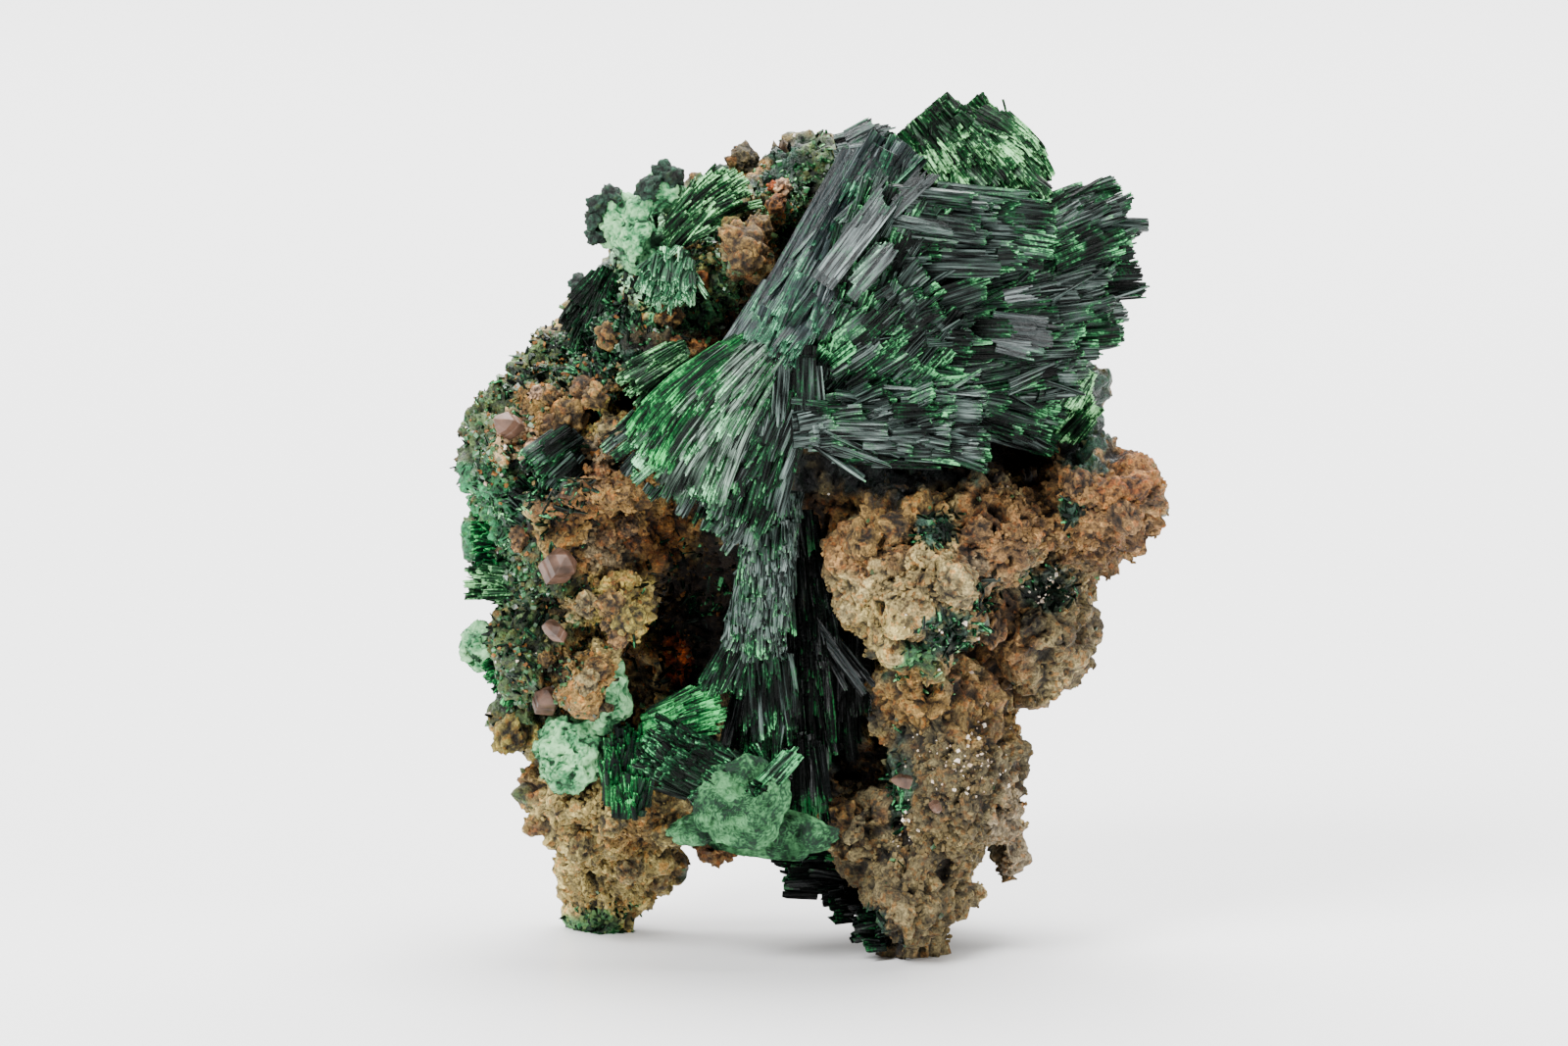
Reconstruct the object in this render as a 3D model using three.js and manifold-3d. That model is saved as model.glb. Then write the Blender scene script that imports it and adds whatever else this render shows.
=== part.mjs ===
// A szenicsite specimen: sprays of dark green, striated blades grown together on a brown
// limonite matrix that stands on two feet, with pale green crusts and a few quartz crystals.
// Millimetres, +Z up. The front faces -Y. The origin is on the ground, under the middle of the specimen.
import * as THREE from 'three';
import { mergeVertices } from 'three/addons/utils/BufferGeometryUtils.js';
import { ImprovedNoise } from 'three/addons/math/ImprovedNoise.js';
import Module from 'manifold-3d';

const wasm = await Module();
wasm.setup();

// Driving dimensions
const LOOK_DOWN = THREE.MathUtils.degToRad(8); // the front view that places are read in looks down this much
const GAP = 0.3; // clearance between a crystal and the pocket that holds it
const RAGGED = 0.9; // how much longer or shorter than its spray a blade may be
const NOTCH = 0.7; // depth of the notch between two blade tips
const VALLEY = 0.68; // thickness between two blades, against that at their crests
const POINT_WIDTH = 0.12; // width of a quartz crystal's blunt point, against that of its prism
const MERGE = 1e-4; // vertices closer than this are one
const SMOOTH = 1.6; // edges that shape the rock less than this are left out
const SMALLEST_SCRAP = 40; // cubic millimetres: loose scraps a cut leaves below this are dropped

// Middle of the modelled specimen, taken to the origin so that it stands centred
const MIDDLE = new THREE.Vector3(-0.56, 0.15, 0);

// Finishes
const DARK_BLADE = { color: 0x16302a, roughness: 0.35, metalness: 0.0 };
const GREEN_BLADE = { color: 0x1e6b3a, roughness: 0.4, metalness: 0.0 };
const PALE_CRUST = { color: 0x8fc79c, roughness: 0.85, metalness: 0.0 };
const BROWN_ROCK = { color: 0x8a6a40, roughness: 0.95, metalness: 0.0 };
const PINK_QUARTZ = { color: 0xc9a594, roughness: 0.45, metalness: 0.0 };

// Places are [right, up, back]: up is as the front view shows it, back is away from the viewer.
function place([right, up, back]) {
  const height = (up - back * Math.sin(LOOK_DOWN)) / Math.cos(LOOK_DOWN);
  return new THREE.Vector3(right, back, height);
}

// Brown matrix, as overlapping lumps. Sizes are half widths: [right, back, up].
const CORE_LUMPS = [
  { at: [0.0, 54.0, 8.0], size: [21.0, 15.0, 24.0], detail: 3 }, // heart, behind the sprays
  { at: [-24.5, 46.0, 2.0], size: [11.0, 16.0, 17.0], detail: 2 }, // left flank
  { at: [-15.6, 62.0, 4.0], size: [9.6, 15.0, 11.0], detail: 2 }, // left shoulder
  { at: [-10.5, 71.5, 5.0], size: [11.5, 12.0, 7.5], detail: 1 }, // top left
  { at: [12.0, 65.0, 7.0], size: [17.0, 14.0, 14.5], detail: 2 }, // behind the main spray
  { at: [-8.0, 25.0, 12.0], size: [19.0, 10.0, 14.0], detail: 2 }, // back of the hollow
  { at: [17.0, 38.4, 6.0], size: [11.5, 14.0, 15.0], detail: 2 }, // right flank
];
const RIGHT_LUMPS = [
  { at: [9.5, 37.5, -14.0], size: [8.8, 9.0, 9.6], detail: 1 }, // front boulder
  { at: [18.6, 42.6, -10.0], size: [5.4, 8.0, 6.6], detail: 1 },
  { at: [25.2, 55.2, 2.0], size: [5.4, 7.0, 7.0], detail: 1 },
  { at: [29.0, 45.0, -5.0], size: [7.4, 9.0, 6.7], detail: 1 }, // boulder at the right edge
  { at: [22.8, 32.2, 0.0], size: [5.8, 11.0, 7.6], detail: 1 },
  { at: [14.5, 17.5, -6.0], size: [7.2, 9.5, 9.2], detail: 1 }, // column above the right foot
  { at: [12.0, 26.0, -5.0], size: [6.5, 9.0, 6.0], detail: 1 },
  { at: [20.2, 11.5, 8.0], size: [1.9, 5.0, 5.6], detail: 1 },
  { at: [3.2, 14.0, -5.0], size: [2.7, 6.0, 2.7], detail: 1 }, // small ball beside the column
  { at: [5.8, 12.0, 0.0], size: [5.2, 8.0, 6.0], detail: 1 },
  { at: [4.2, 9.6, -2.0], size: [4.0, 6.0, 2.6], detail: 1 },
];
const LEFT_LUMPS = [
  { at: [-22.4, 15.4, 1.0], size: [8.0, 9.5, 6.2], detail: 1 }, // above the left foot
  { at: [-14.6, 13.4, 2.0], size: [3.8, 7.0, 3.2], detail: 1 },
  { at: [-29.2, 23.4, 2.0], size: [4.8, 6.5, 3.8], detail: 1 }, // olive nodule
  { at: [-9.4, 10.6, 8.0], size: [3.2, 7.0, 2.6], detail: 1 },
  { at: [-22.6, 46.6, -14.0], size: [6.8, 5.0, 2.9], detail: 1 }, // rusty ledge
  { at: [-21.8, 57.8, -8.0], size: [2.8, 8.0, 3.2], detail: 1 },
  { at: [-19.2, 53.2, -9.5], size: [3.8, 8.0, 2.5], detail: 1 },
  { at: [-19.2, 34.6, -12.5], size: [4.3, 5.0, 4.1], detail: 1 }, // sparkling cluster
  { at: [-22.6, 27.6, -10.0], size: [3.4, 5.0, 3.8], detail: 1 },
  { at: [-29.0, 30.0, -3.0], size: [5.0, 8.0, 6.6], detail: 1 },
  { at: [-32.0, 50.4, -2.0], size: [4.8, 9.0, 7.6], detail: 1 },
  { at: [-27.6, 57.6, 1.0], size: [3.8, 8.0, 3.8], detail: 1 },
];
const TOP_LUMPS = [
  { at: [-7.6, 80.4, 6.0], size: [1.6, 2.6, 2.6], detail: 1 }, // small peak
  { at: [-6.4, 71.0, -6.0], size: [3.4, 8.0, 3.7], detail: 1 }, // radiating nodule
  { at: [-3.4, 76.4, -1.0], size: [4.4, 8.0, 3.8], detail: 1 },
  { at: [1.4, 78.4, 3.0], size: [8.0, 7.0, 5.0], detail: 1 },
];
const FEET_LUMPS = [
  { at: [9.4, 6.0, 1.0], size: [5.6, 15.0, 7.6], detail: 2 }, // right foot, long from front to back
  { at: [12.4, 5.6, -3.0], size: [4.4, 6.0, 6.0], detail: 1 },
  { at: [12.0, 15.0, 10.0], size: [7.2, 12.0, 8.6], detail: 1 },
  { at: [-22.0, 7.8, 11.0], size: [5.4, 7.0, 7.4], detail: 1 }, // left foot
  { at: [-17.8, 10.0, 9.0], size: [4.6, 7.0, 7.0], detail: 1 },
];

// Sprays of blades. root and tip are places on a spray's middle line, wide is its width at
// both, thick is its thickness at a crest, bow is how far it arches towards its broad face.
const FRONT = [0, -1, 0]; // right, back, up, of the way a broad face looks
const LONG_BLADE_FAN = [
  { root: [8.4, 81.6, -13], tip: [-5.4, 59.4, -20], wide: [4.4, 5.6], thick: 3.0, blades: 3 },
  { root: [-3.2, 61.0, -19], tip: [-16.4, 46.2, -18], wide: [5.0, 16.5], thick: 1.9, blades: 5 },
  { root: [-3.6, 55.4, -17], tip: [-9.0, 41.0, -14], wide: [6.0, 9.0], thick: 2.4, blades: 3 },
];
const MAIN_SPRAY = [
  { root: [0.4, 57.5, -16], tip: [9.8, 76.6, -20], wide: [6.0, 8.6], thick: 2.0, blades: 4 },
  { root: [2.6, 54.4, -16], tip: [12.2, 66.6, -21], wide: [6.0, 8.0], thick: 2.0, blades: 3 },
  { root: [9.2, 73.6, -17], tip: [23.6, 71.4, -18], wide: [4.8, 4.4], thick: 2.6, blades: 2 },
  { root: [12.6, 65.6, -14], tip: [33.2, 72.2, -8], wide: [6.0, 10.5], thick: 2.2, blades: 4 },
  { root: [10.6, 62.8, -17], tip: [30.4, 65.2, -12], wide: [6.0, 7.0], thick: 2.2, blades: 4 },
  { root: [8.8, 58.8, -16], tip: [27.6, 60.4, -12], wide: [6.0, 8.0], thick: 2.2, blades: 4 },
  { root: [10.4, 55.8, -11], tip: [25.8, 54.6, -8], wide: [6.0, 7.0], thick: 2.2, blades: 3 },
  { root: [18.4, 70.4, -5], tip: [31.4, 75.2, -1], wide: [6.0, 7.0], thick: 2.4, blades: 3 },
];
const MAIN_SPRAY_MASS = [
  { at: [9.0, 63.0, -11.0], size: [8.0, 6.5, 9.0], detail: 1 },
  { at: [21.0, 65.5, -8.0], size: [8.0, 6.5, 6.0], detail: 1 },
  { at: [13.5, 71.0, -12.0], size: [5.0, 5.5, 4.4], detail: 1 },
];
const LOWER_BLADE = [
  { root: [-1.2, 53.4, -19], tip: [15.8, 53.2, -21], wide: [4.4, 7.4], thick: 2.0, blades: 4 },
];
const TOP_SHEAF = [
  { root: [11.6, 84.2, -9], tip: [21.2, 73.8, -11], wide: [6.6, 8.4], thick: 2.8, blades: 4, bow: 1.2 },
  { root: [16.8, 73.0, -7.4], tip: [14.4, 84.6, -7.4], wide: [9.0, 10.6], thick: 3.2, blades: 3 },
];
const TOP_LEFT_BLADES = [
  { root: [6.6, 74.2, -8], tip: [5.0, 83.2, -6], wide: [5.0, 5.6], thick: 2.6, blades: 3 },
];
const CORNER_CRYSTALS = [
  { root: [24.0, 51.6, -6], tip: [28.0, 57.0, -9], wide: [4.4, 4.6], thick: 2.6, blades: 3 },
];
const CENTRE_SHEAF = [
  { root: [-3.6, 46.4, -12], tip: [-6.3, 30.3, -13], wide: [4.4, 6.4], thick: 3.6, blades: 4, bow: 1.0 },
];
const CENTRE_FRINGE = [
  { root: [-2.8, 36.0, -7], tip: [-3.6, 16.4, -6], wide: [7.0, 12.0], thick: 2.4, blades: 5 },
];
const HOLLOW_SHEAF = [
  { root: [1.6, 46.0, -2], tip: [2.0, 19.0, 0], wide: [6.0, 8.0], thick: 2.6, blades: 4 },
];
const LOWER_GREEN_FAN = [
  { root: [-6.8, 16.6, -13], tip: [-16.6, 21.4, -14], wide: [5.4, 6.2], thick: 2.4, blades: 3, bow: 0.8 },
  { root: [-8.8, 18.2, -13], tip: [-5.4, 10.6, -14], wide: [8.6, 11.0], thick: 2.6, blades: 4, bow: 0.8 },
  { root: [-6.2, 15.6, -14], tip: [-1.5, 20.4, -15], wide: [1.9, 1.8], thick: 1.6, blades: 1 },
  { root: [-11.8, 11.6, -12], tip: [0.2, 11.0, -12], wide: [3.0, 3.4], thick: 2.2, blades: 2 },
];
const LOWER_LEFT_FAN = [
  { root: [-18.0, 22.4, -9], tip: [-9.2, 25.0, -11], wide: [4.0, 6.0], thick: 2.0, blades: 4 },
  { root: [-19.0, 13.6, -9], tip: [-18.8, 22.6, -11], wide: [4.4, 4.2], thick: 3.2, blades: 3 },
];
const BASE_CRYSTALS = [
  { root: [5.6, 7.0, 2], tip: [-5.4, 7.8, 0], wide: [4.0, 4.0], thick: 3.2, blades: 2 },
  { root: [6.0, 4.8, 0], tip: [0.4, 4.6, -1], wide: [3.0, 2.8], thick: 2.6, blades: 2 },
];
const FOOT_CRYSTAL = [
  { root: [8.6, 2.0, -7], tip: [3.8, 1.6, -9], wide: [3.4, 3.8], thick: 3.2, blades: 2 },
];
const LEFT_PLATES = [
  { root: [-23.4, 52.2, -12], tip: [-28.6, 47.8, -16], wide: [4.6, 5.2], thick: 1.6, blades: 2 },
];
const LEFT_DARK_PLATE = [
  { root: [-26.6, 43.6, -9], tip: [-30.8, 47.2, -11], wide: [3.6, 4.0], thick: 2.0, blades: 2 },
];
const LEFT_EDGE_BLADES = [
  { root: [-27.6, 41.2, -1], tip: [-35.2, 42.4, -3], wide: [6.0, 9.6], thick: 2.6, blades: 3 },
];
const LEFT_LEDGE_BLADES = [
  { root: [-27.0, 37.0, -4], tip: [-36.0, 37.4, -5], wide: [3.6, 3.8], thick: 2.6, blades: 3 },
];
const LEFT_LOW_BLADES = [
  { root: [-26.8, 31.0, -3], tip: [-33.4, 26.8, -4], wide: [6.0, 8.0], thick: 2.6, blades: 3 },
];
const SLOPE_BLADES = [
  { root: [-20.6, 69.4, -2], tip: [-25.0, 61.4, -5], wide: [3.0, 3.6], thick: 2.0, blades: 3 },
];
const INNER_FAN = [
  { root: [-12.6, 61.4, -12], tip: [-19.8, 56.6, -15], wide: [3.4, 4.4], thick: 1.8, blades: 3 },
];
const UPPER_GREEN_FAN = [
  { root: [-14.4, 72.0, -8], tip: [-6.2, 77.8, -8], wide: [4.0, 4.6], thick: 2.4, blades: 3 },
];
const UPPER_SLAB = [
  { root: [-13.8, 71.4, -9], tip: [-15.8, 64.4, -12], wide: [6.0, 7.0], thick: 2.2, blades: 3 },
];

// Pale green crusts, as flattened lumps
const TOP_CRUST = [
  { at: [-20.2, 74.4, -4.0], size: [3.0, 3.4, 2.8], detail: 1 },
  { at: [-17.4, 72.4, -7.0], size: [3.0, 3.0, 4.0], detail: 1 },
  { at: [-15.4, 76.6, -5.0], size: [2.8, 3.4, 2.2], detail: 1 },
];
const LOW_CRUST = [
  { at: [-25.0, 20.2, -8.0], size: [4.2, 3.2, 4.4], detail: 1 },
  { at: [-21.6, 26.2, -9.2], size: [2.4, 2.6, 4.4], detail: 1 },
];
const SIDE_CRUST = [
  { at: [-34.2, 30.6, -3.0], size: [2.1, 3.4, 2.7], detail: 1 },
];

// Quartz crystals: place, half width, length and the way the point looks
const QUARTZ = [
  { at: [-30.2, 53.0, -11.0], half: 1.5, long: 3.8, way: [-0.3, -1, 0.2] },
  { at: [-26.3, 38.6, -14.0], half: 1.8, long: 4.2, way: [-0.2, -1, 0.1] },
  { at: [-25.8, 32.2, -15.0], half: 1.1, long: 2.8, way: [0.2, -1, 0.3] },
  { at: [-27.4, 24.8, -8.0], half: 1.3, long: 3.4, way: [-0.4, -1, 0.4] },
  { at: [9.4, 17.2, -14.5], half: 0.9, long: 2.8, way: [-1, -0.6, 0.3] },
  { at: [12.2, 15.0, -15.6], half: 0.8, long: 2.4, way: [0.1, -1, -0.2] },
];

const noise = new ImprovedNoise();

// Rolling unevenness of the rock, about -1 to 1, from three octaves of noise.
function unevenness(p) {
  let sum = 0;
  let scale = 0.13;
  let strength = 1;
  for (let octave = 0; octave < 3; octave += 1) {
    sum += strength * noise.noise(p.x * scale, p.y * scale, p.z * scale);
    scale *= 2.1;
    strength *= 0.55;
  }
  return sum;
}

// Turns a three.js geometry into a closed solid that can be joined and cut.
function toSolid(geometry) {
  const bare = new THREE.BufferGeometry();
  bare.setAttribute('position', geometry.attributes.position);
  if (geometry.index) bare.setIndex(geometry.index);
  const welded = mergeVertices(bare, MERGE);
  return new wasm.Manifold(new wasm.Mesh({
    numProp: 3,
    vertProperties: new Float32Array(welded.attributes.position.array),
    triVerts: new Uint32Array(welded.index.array),
  }));
}

function toGeometry(solid) {
  const mesh = solid.getMesh();
  const geometry = new THREE.BufferGeometry();
  geometry.setAttribute('position', new THREE.BufferAttribute(mesh.vertProperties, 3));
  geometry.setIndex(new THREE.BufferAttribute(mesh.triVerts, 1));
  geometry.computeVertexNormals();
  return geometry;
}

function join(solids) {
  return solids.reduce((whole, solid) => whole.add(solid));
}

// One rough lump: a geodesic ball stretched to size and dented by the unevenness at its place.
function lump({ at, size, detail }, grow, dents = 0.2) {
  const geometry = new THREE.IcosahedronGeometry(1, detail);
  const half = new THREE.Vector3(...size).addScalar(grow);
  const centre = place(at);
  const position = geometry.attributes.position;
  const p = new THREE.Vector3();
  for (let i = 0; i < position.count; i += 1) {
    p.fromBufferAttribute(position, i);
    const onSurface = p.clone().multiply(half).add(centre);
    const reach = 1 + dents * unevenness(onSurface);
    p.multiply(half).multiplyScalar(reach).add(centre);
    position.setXYZ(i, p.x, p.y, p.z);
  }
  return toSolid(geometry);
}

function lumps(list, grow) {
  return join(list.map((one) => lump(one, grow)));
}

// One spray: a plate of blades grown side by side, which part from root to tip. Each blade is a
// low ridge on both faces, with a length of its own. A grown spray, which only cuts the pocket
// for the plate, has no ridges and reaches as far as the longest blade.
function spray({ root, tip, wide, thick, blades, bow = 0, face = FRONT }, seed, grow) {
  THREE.MathUtils.seededRandom(seed);
  const chance = () => THREE.MathUtils.seededRandom() * 2 - 1;
  const from = place(root);
  const to = place(tip);
  const along = to.clone().sub(from);
  const length = along.length();
  along.normalize();
  const side = new THREE.Vector3().crossVectors(new THREE.Vector3(...face), along).normalize();
  const out = new THREE.Vector3().crossVectors(along, side).normalize();
  const lengths = Array.from({ length: blades }, () => length + chance() * RAGGED);
  const columns = grow ? 1 : 2 * blades;
  const columnLength = (k) => {
    if (grow) return length + RAGGED + grow;
    if (k % 2) return lengths[(k - 1) / 2];
    return Math.min(lengths[Math.max(0, k / 2 - 1)], lengths[Math.min(blades - 1, k / 2)]) - NOTCH;
  };
  const geometry = new THREE.BoxGeometry(1, 1, 1, columns, 1, bow ? 3 : 1);
  const position = geometry.attributes.position;
  for (let i = 0; i < position.count; i += 1) {
    const u = position.getX(i);
    const t = position.getZ(i) + 0.5;
    const front = Math.sign(position.getY(i));
    const column = Math.round((u + 0.5) * columns);
    const crest = grow || column % 2 ? 1 : VALLEY;
    const bevel = t === 1 && !grow ? 0.6 : 1;
    const part = grow ? (t * columnLength(column)) / length : t;
    const across = u * (THREE.MathUtils.lerp(wide[0], wide[1], part) + 2 * grow);
    const proud = front * (thick * 0.5 * crest * bevel + grow) + bow * Math.sin(Math.PI * t);
    const reach = t * columnLength(column) - (t === 0 ? grow : 0);
    const p = from.clone().addScaledVector(side, across);
    p.addScaledVector(out, proud).addScaledVector(along, reach);
    position.setXYZ(i, p.x, p.y, p.z);
  }
  return toSolid(geometry);
}

// A group of sprays, with the crystal mass that they grow from where it has one.
function sprays(list, seed, grow, masses = []) {
  const plates = list.map((one, i) => spray(one, seed + i, grow));
  return join([...plates, ...masses.map((one) => lump(one, grow))]);
}

// One quartz crystal: a six-sided prism whose upper part narrows to a six-sided point.
function quartz({ at, half, long, way }, grow) {
  const geometry = new THREE.CylinderGeometry(half + grow, half + grow, long + grow, 6, 2);
  geometry.translate(0, (long + grow) / 2, 0);
  const position = geometry.attributes.position;
  for (let i = 0; i < position.count; i += 1) {
    const share = position.getY(i) / (long + grow);
    if (share > 0.9) {
      position.setX(i, position.getX(i) * POINT_WIDTH);
      position.setZ(i, position.getZ(i) * POINT_WIDTH);
    }
  }
  const turn = new THREE.Quaternion().setFromUnitVectors(
    new THREE.Vector3(0, 1, 0),
    new THREE.Vector3(...way).normalize(),
  );
  const centre = place(at);
  return toSolid(geometry.applyQuaternion(turn).translate(centre.x, centre.y, centre.z));
}

// The ground: a slab under the feet that wears them flat.
function ground() {
  const slab = new THREE.BoxGeometry(200, 200, 40);
  slab.translate(0, 0, -20);
  return toSolid(slab);
}

function matrix() {
  const all = [...CORE_LUMPS, ...RIGHT_LUMPS, ...LEFT_LUMPS, ...TOP_LUMPS, ...FEET_LUMPS];
  return lumps(all, 0).simplify(SMOOTH).subtract(ground());
}

// Every crystal group, those in front first: a later one gives way to those before it.
const GROUPS = [
  { name: 'long_blade_fan', finish: DARK_BLADE, shape: (grow) => sprays(LONG_BLADE_FAN, 11, grow) },
  { name: 'lower_blade', finish: DARK_BLADE, shape: (grow) => sprays(LOWER_BLADE, 31, grow) },
  { name: 'main_spray', finish: DARK_BLADE, shape: (grow) => sprays(MAIN_SPRAY, 41, grow, MAIN_SPRAY_MASS) },
  { name: 'top_sheaf', finish: GREEN_BLADE, shape: (grow) => sprays(TOP_SHEAF, 61, grow) },
  { name: 'top_left_blades', finish: DARK_BLADE, shape: (grow) => sprays(TOP_LEFT_BLADES, 71, grow) },
  { name: 'corner_crystals', finish: GREEN_BLADE, shape: (grow) => sprays(CORNER_CRYSTALS, 81, grow) },
  { name: 'centre_sheaf', finish: DARK_BLADE, shape: (grow) => sprays(CENTRE_SHEAF, 91, grow) },
  { name: 'centre_fringe', finish: DARK_BLADE, shape: (grow) => sprays(CENTRE_FRINGE, 94, grow) },
  { name: 'hollow_sheaf', finish: DARK_BLADE, shape: (grow) => sprays(HOLLOW_SHEAF, 97, grow) },
  { name: 'lower_green_fan', finish: GREEN_BLADE, shape: (grow) => sprays(LOWER_GREEN_FAN, 101, grow) },
  { name: 'lower_left_fan', finish: GREEN_BLADE, shape: (grow) => sprays(LOWER_LEFT_FAN, 106, grow) },
  { name: 'base_crystals', finish: DARK_BLADE, shape: (grow) => sprays(BASE_CRYSTALS, 111, grow) },
  { name: 'foot_crystal', finish: DARK_BLADE, shape: (grow) => sprays(FOOT_CRYSTAL, 121, grow) },
  { name: 'left_plates', finish: DARK_BLADE, shape: (grow) => sprays(LEFT_PLATES, 131, grow) },
  { name: 'left_dark_plate', finish: DARK_BLADE, shape: (grow) => sprays(LEFT_DARK_PLATE, 141, grow) },
  { name: 'left_edge_blades', finish: GREEN_BLADE, shape: (grow) => sprays(LEFT_EDGE_BLADES, 151, grow) },
  { name: 'left_ledge_blades', finish: GREEN_BLADE, shape: (grow) => sprays(LEFT_LEDGE_BLADES, 156, grow) },
  { name: 'left_low_blades', finish: GREEN_BLADE, shape: (grow) => sprays(LEFT_LOW_BLADES, 161, grow) },
  { name: 'slope_blades', finish: GREEN_BLADE, shape: (grow) => sprays(SLOPE_BLADES, 171, grow) },
  { name: 'inner_fan', finish: GREEN_BLADE, shape: (grow) => sprays(INNER_FAN, 181, grow) },
  { name: 'upper_green_fan', finish: GREEN_BLADE, shape: (grow) => sprays(UPPER_GREEN_FAN, 191, grow) },
  { name: 'upper_slab', finish: GREEN_BLADE, shape: (grow) => sprays(UPPER_SLAB, 201, grow) },
  { name: 'top_crust', finish: PALE_CRUST, shape: (grow) => lumps(TOP_CRUST, grow) },
  { name: 'low_crust', finish: PALE_CRUST, shape: (grow) => lumps(LOW_CRUST, grow) },
  { name: 'side_crust', finish: PALE_CRUST, shape: (grow) => lumps(SIDE_CRUST, grow) },
  ...QUARTZ.map((one, i) => ({
    name: `quartz_${i + 1}`, finish: PINK_QUARTZ, shape: (grow) => quartz(one, grow),
  })),
];

// The largest connected body of a cut solid: scraps that the cut leaves loose are dropped.
function mainBody(name, solid) {
  const bodies = solid.decompose().sort((a, b) => b.volume() - a.volume());
  if (bodies.length > 1 && bodies[1].volume() > SMALLEST_SCRAP) {
    const { min, max } = bodies[1].boundingBox();
    throw new Error(`${name} falls apart: a piece of it lies loose from ${min} to ${max}`);
  }
  return bodies[0];
}

// Cuts away what the grown shapes of earlier groups take up, where their boxes meet.
function cutBack(solid, taken) {
  const box = ({ min, max }) => new THREE.Box3(new THREE.Vector3(...min), new THREE.Vector3(...max));
  const own = box(solid.boundingBox());
  const near = taken.filter((other) => own.intersectsBox(box(other.boundingBox())));
  return near.length ? solid.subtract(join(near)) : solid;
}

function specimen() {
  const group = new THREE.Group();
  const add = (name, solid, finish) => {
    const mesh = new THREE.Mesh(toGeometry(solid), new THREE.MeshStandardMaterial(finish));
    mesh.name = name;
    mesh.position.copy(MIDDLE).negate();
    group.add(mesh);
  };
  const taken = [];
  for (const { name, finish, shape } of GROUPS) {
    add(name, mainBody(name, cutBack(shape(0), taken)), finish);
    taken.push(shape(GAP));
  }
  add('matrix', mainBody('matrix', cutBack(matrix(), taken)), BROWN_ROCK);
  return group;
}

export default specimen();
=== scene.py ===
"""Looks of the szenicsite specimen: silky green-black blade sprays on a rough limonite matrix.

Lengths are in millimetres until a mesh is made, and places are read as the front view shows them:
right, up and back from the point between the feet. Every surface is worked out with numpy.
"""

import logging
import math
from dataclasses import dataclass, field
from enum import Enum
from itertools import product

import bpy
import numpy as np
from mathutils import Vector
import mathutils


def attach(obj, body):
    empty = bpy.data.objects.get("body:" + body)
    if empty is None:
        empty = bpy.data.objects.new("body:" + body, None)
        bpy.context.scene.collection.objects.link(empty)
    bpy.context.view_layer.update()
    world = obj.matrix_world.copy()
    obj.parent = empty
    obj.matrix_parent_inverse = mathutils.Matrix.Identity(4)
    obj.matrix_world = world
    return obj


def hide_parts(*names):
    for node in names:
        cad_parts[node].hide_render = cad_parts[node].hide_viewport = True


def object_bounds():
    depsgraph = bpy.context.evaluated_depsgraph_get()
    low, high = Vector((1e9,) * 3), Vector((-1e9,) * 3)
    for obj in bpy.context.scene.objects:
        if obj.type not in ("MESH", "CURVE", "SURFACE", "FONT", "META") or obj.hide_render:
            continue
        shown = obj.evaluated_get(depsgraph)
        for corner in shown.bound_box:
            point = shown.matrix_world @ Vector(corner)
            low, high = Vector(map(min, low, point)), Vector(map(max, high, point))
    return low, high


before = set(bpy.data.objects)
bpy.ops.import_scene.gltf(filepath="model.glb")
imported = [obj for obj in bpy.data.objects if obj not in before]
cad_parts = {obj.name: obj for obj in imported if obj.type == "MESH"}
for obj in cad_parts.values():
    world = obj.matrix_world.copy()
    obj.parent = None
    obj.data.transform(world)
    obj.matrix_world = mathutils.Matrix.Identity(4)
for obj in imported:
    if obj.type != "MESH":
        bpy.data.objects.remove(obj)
SIZE_AT_START = [list(corner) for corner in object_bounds()]

Array = np.ndarray
Triple = tuple[float, float, float]
Pair = tuple[float, float]

MM = 0.001
LOOK_DOWN = math.radians(8.0)
MIDDLE = np.array([-0.56, 0.15, 0.0])
BOX_MARGIN = 0.024
LOW = np.array(SIZE_AT_START[0]) / MM
HIGH = np.array(SIZE_AT_START[1]) / MM

logging.basicConfig(level=logging.INFO, format="%(message)s")
log = logging.getLogger("szenicsite")


def place(right: float, up: float, back: float) -> Array:
    """Return the point that the front view shows at right and up, that far back."""
    height = (up - back * math.sin(LOOK_DOWN)) / math.cos(LOOK_DOWN)
    return np.array([right, back, height]) - MIDDLE


def linear(code: str) -> Array:
    """Return the linear red, green and blue of a six-digit screen colour."""
    screen = np.array([int(code[i : i + 2], 16) for i in (0, 2, 4)]) / 255.0
    return np.where(screen <= 0.04045, screen / 12.92, ((screen + 0.055) / 1.055) ** 2.4)


def smooth_step(low: float, high: float, value: Array) -> Array:
    """Return 0 below low, 1 above high, and the cubic S curve between them."""
    share = np.clip((value - low) / (high - low), 0.0, 1.0)
    return share * share * (3.0 - 2.0 * share)


def unit(vectors: Array) -> Array:
    """Return the vectors along the last axis, each divided by its own length."""
    return vectors / np.maximum(np.linalg.norm(vectors, axis=-1, keepdims=True), 1e-9)


def cell_value(cells: Array, seed: int) -> Array:
    """Return a repeatable number for each whole-number cell.

    The three cell numbers are multiplied by large primes, combined bit by bit and stirred.

    Args:
        cells: Whole numbers, three along the last axis.
        seed: Picks the pattern.

    Returns:
        A number from 0 to 1 for each cell.
    """
    stirred = cells[..., 0] * 73856093 ^ cells[..., 1] * 19349663 ^ cells[..., 2] * 83492791
    stirred = (stirred ^ (seed * 2654435761)) & 0xFFFFFFFF
    stirred = ((stirred ^ (stirred >> 15)) * 2246822519) & 0xFFFFFFFF
    stirred = ((stirred ^ (stirred >> 13)) * 3266489917) & 0xFFFFFFFF
    return ((stirred ^ (stirred >> 16)) & 0xFFFFFF) / float(0xFFFFFF)


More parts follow.
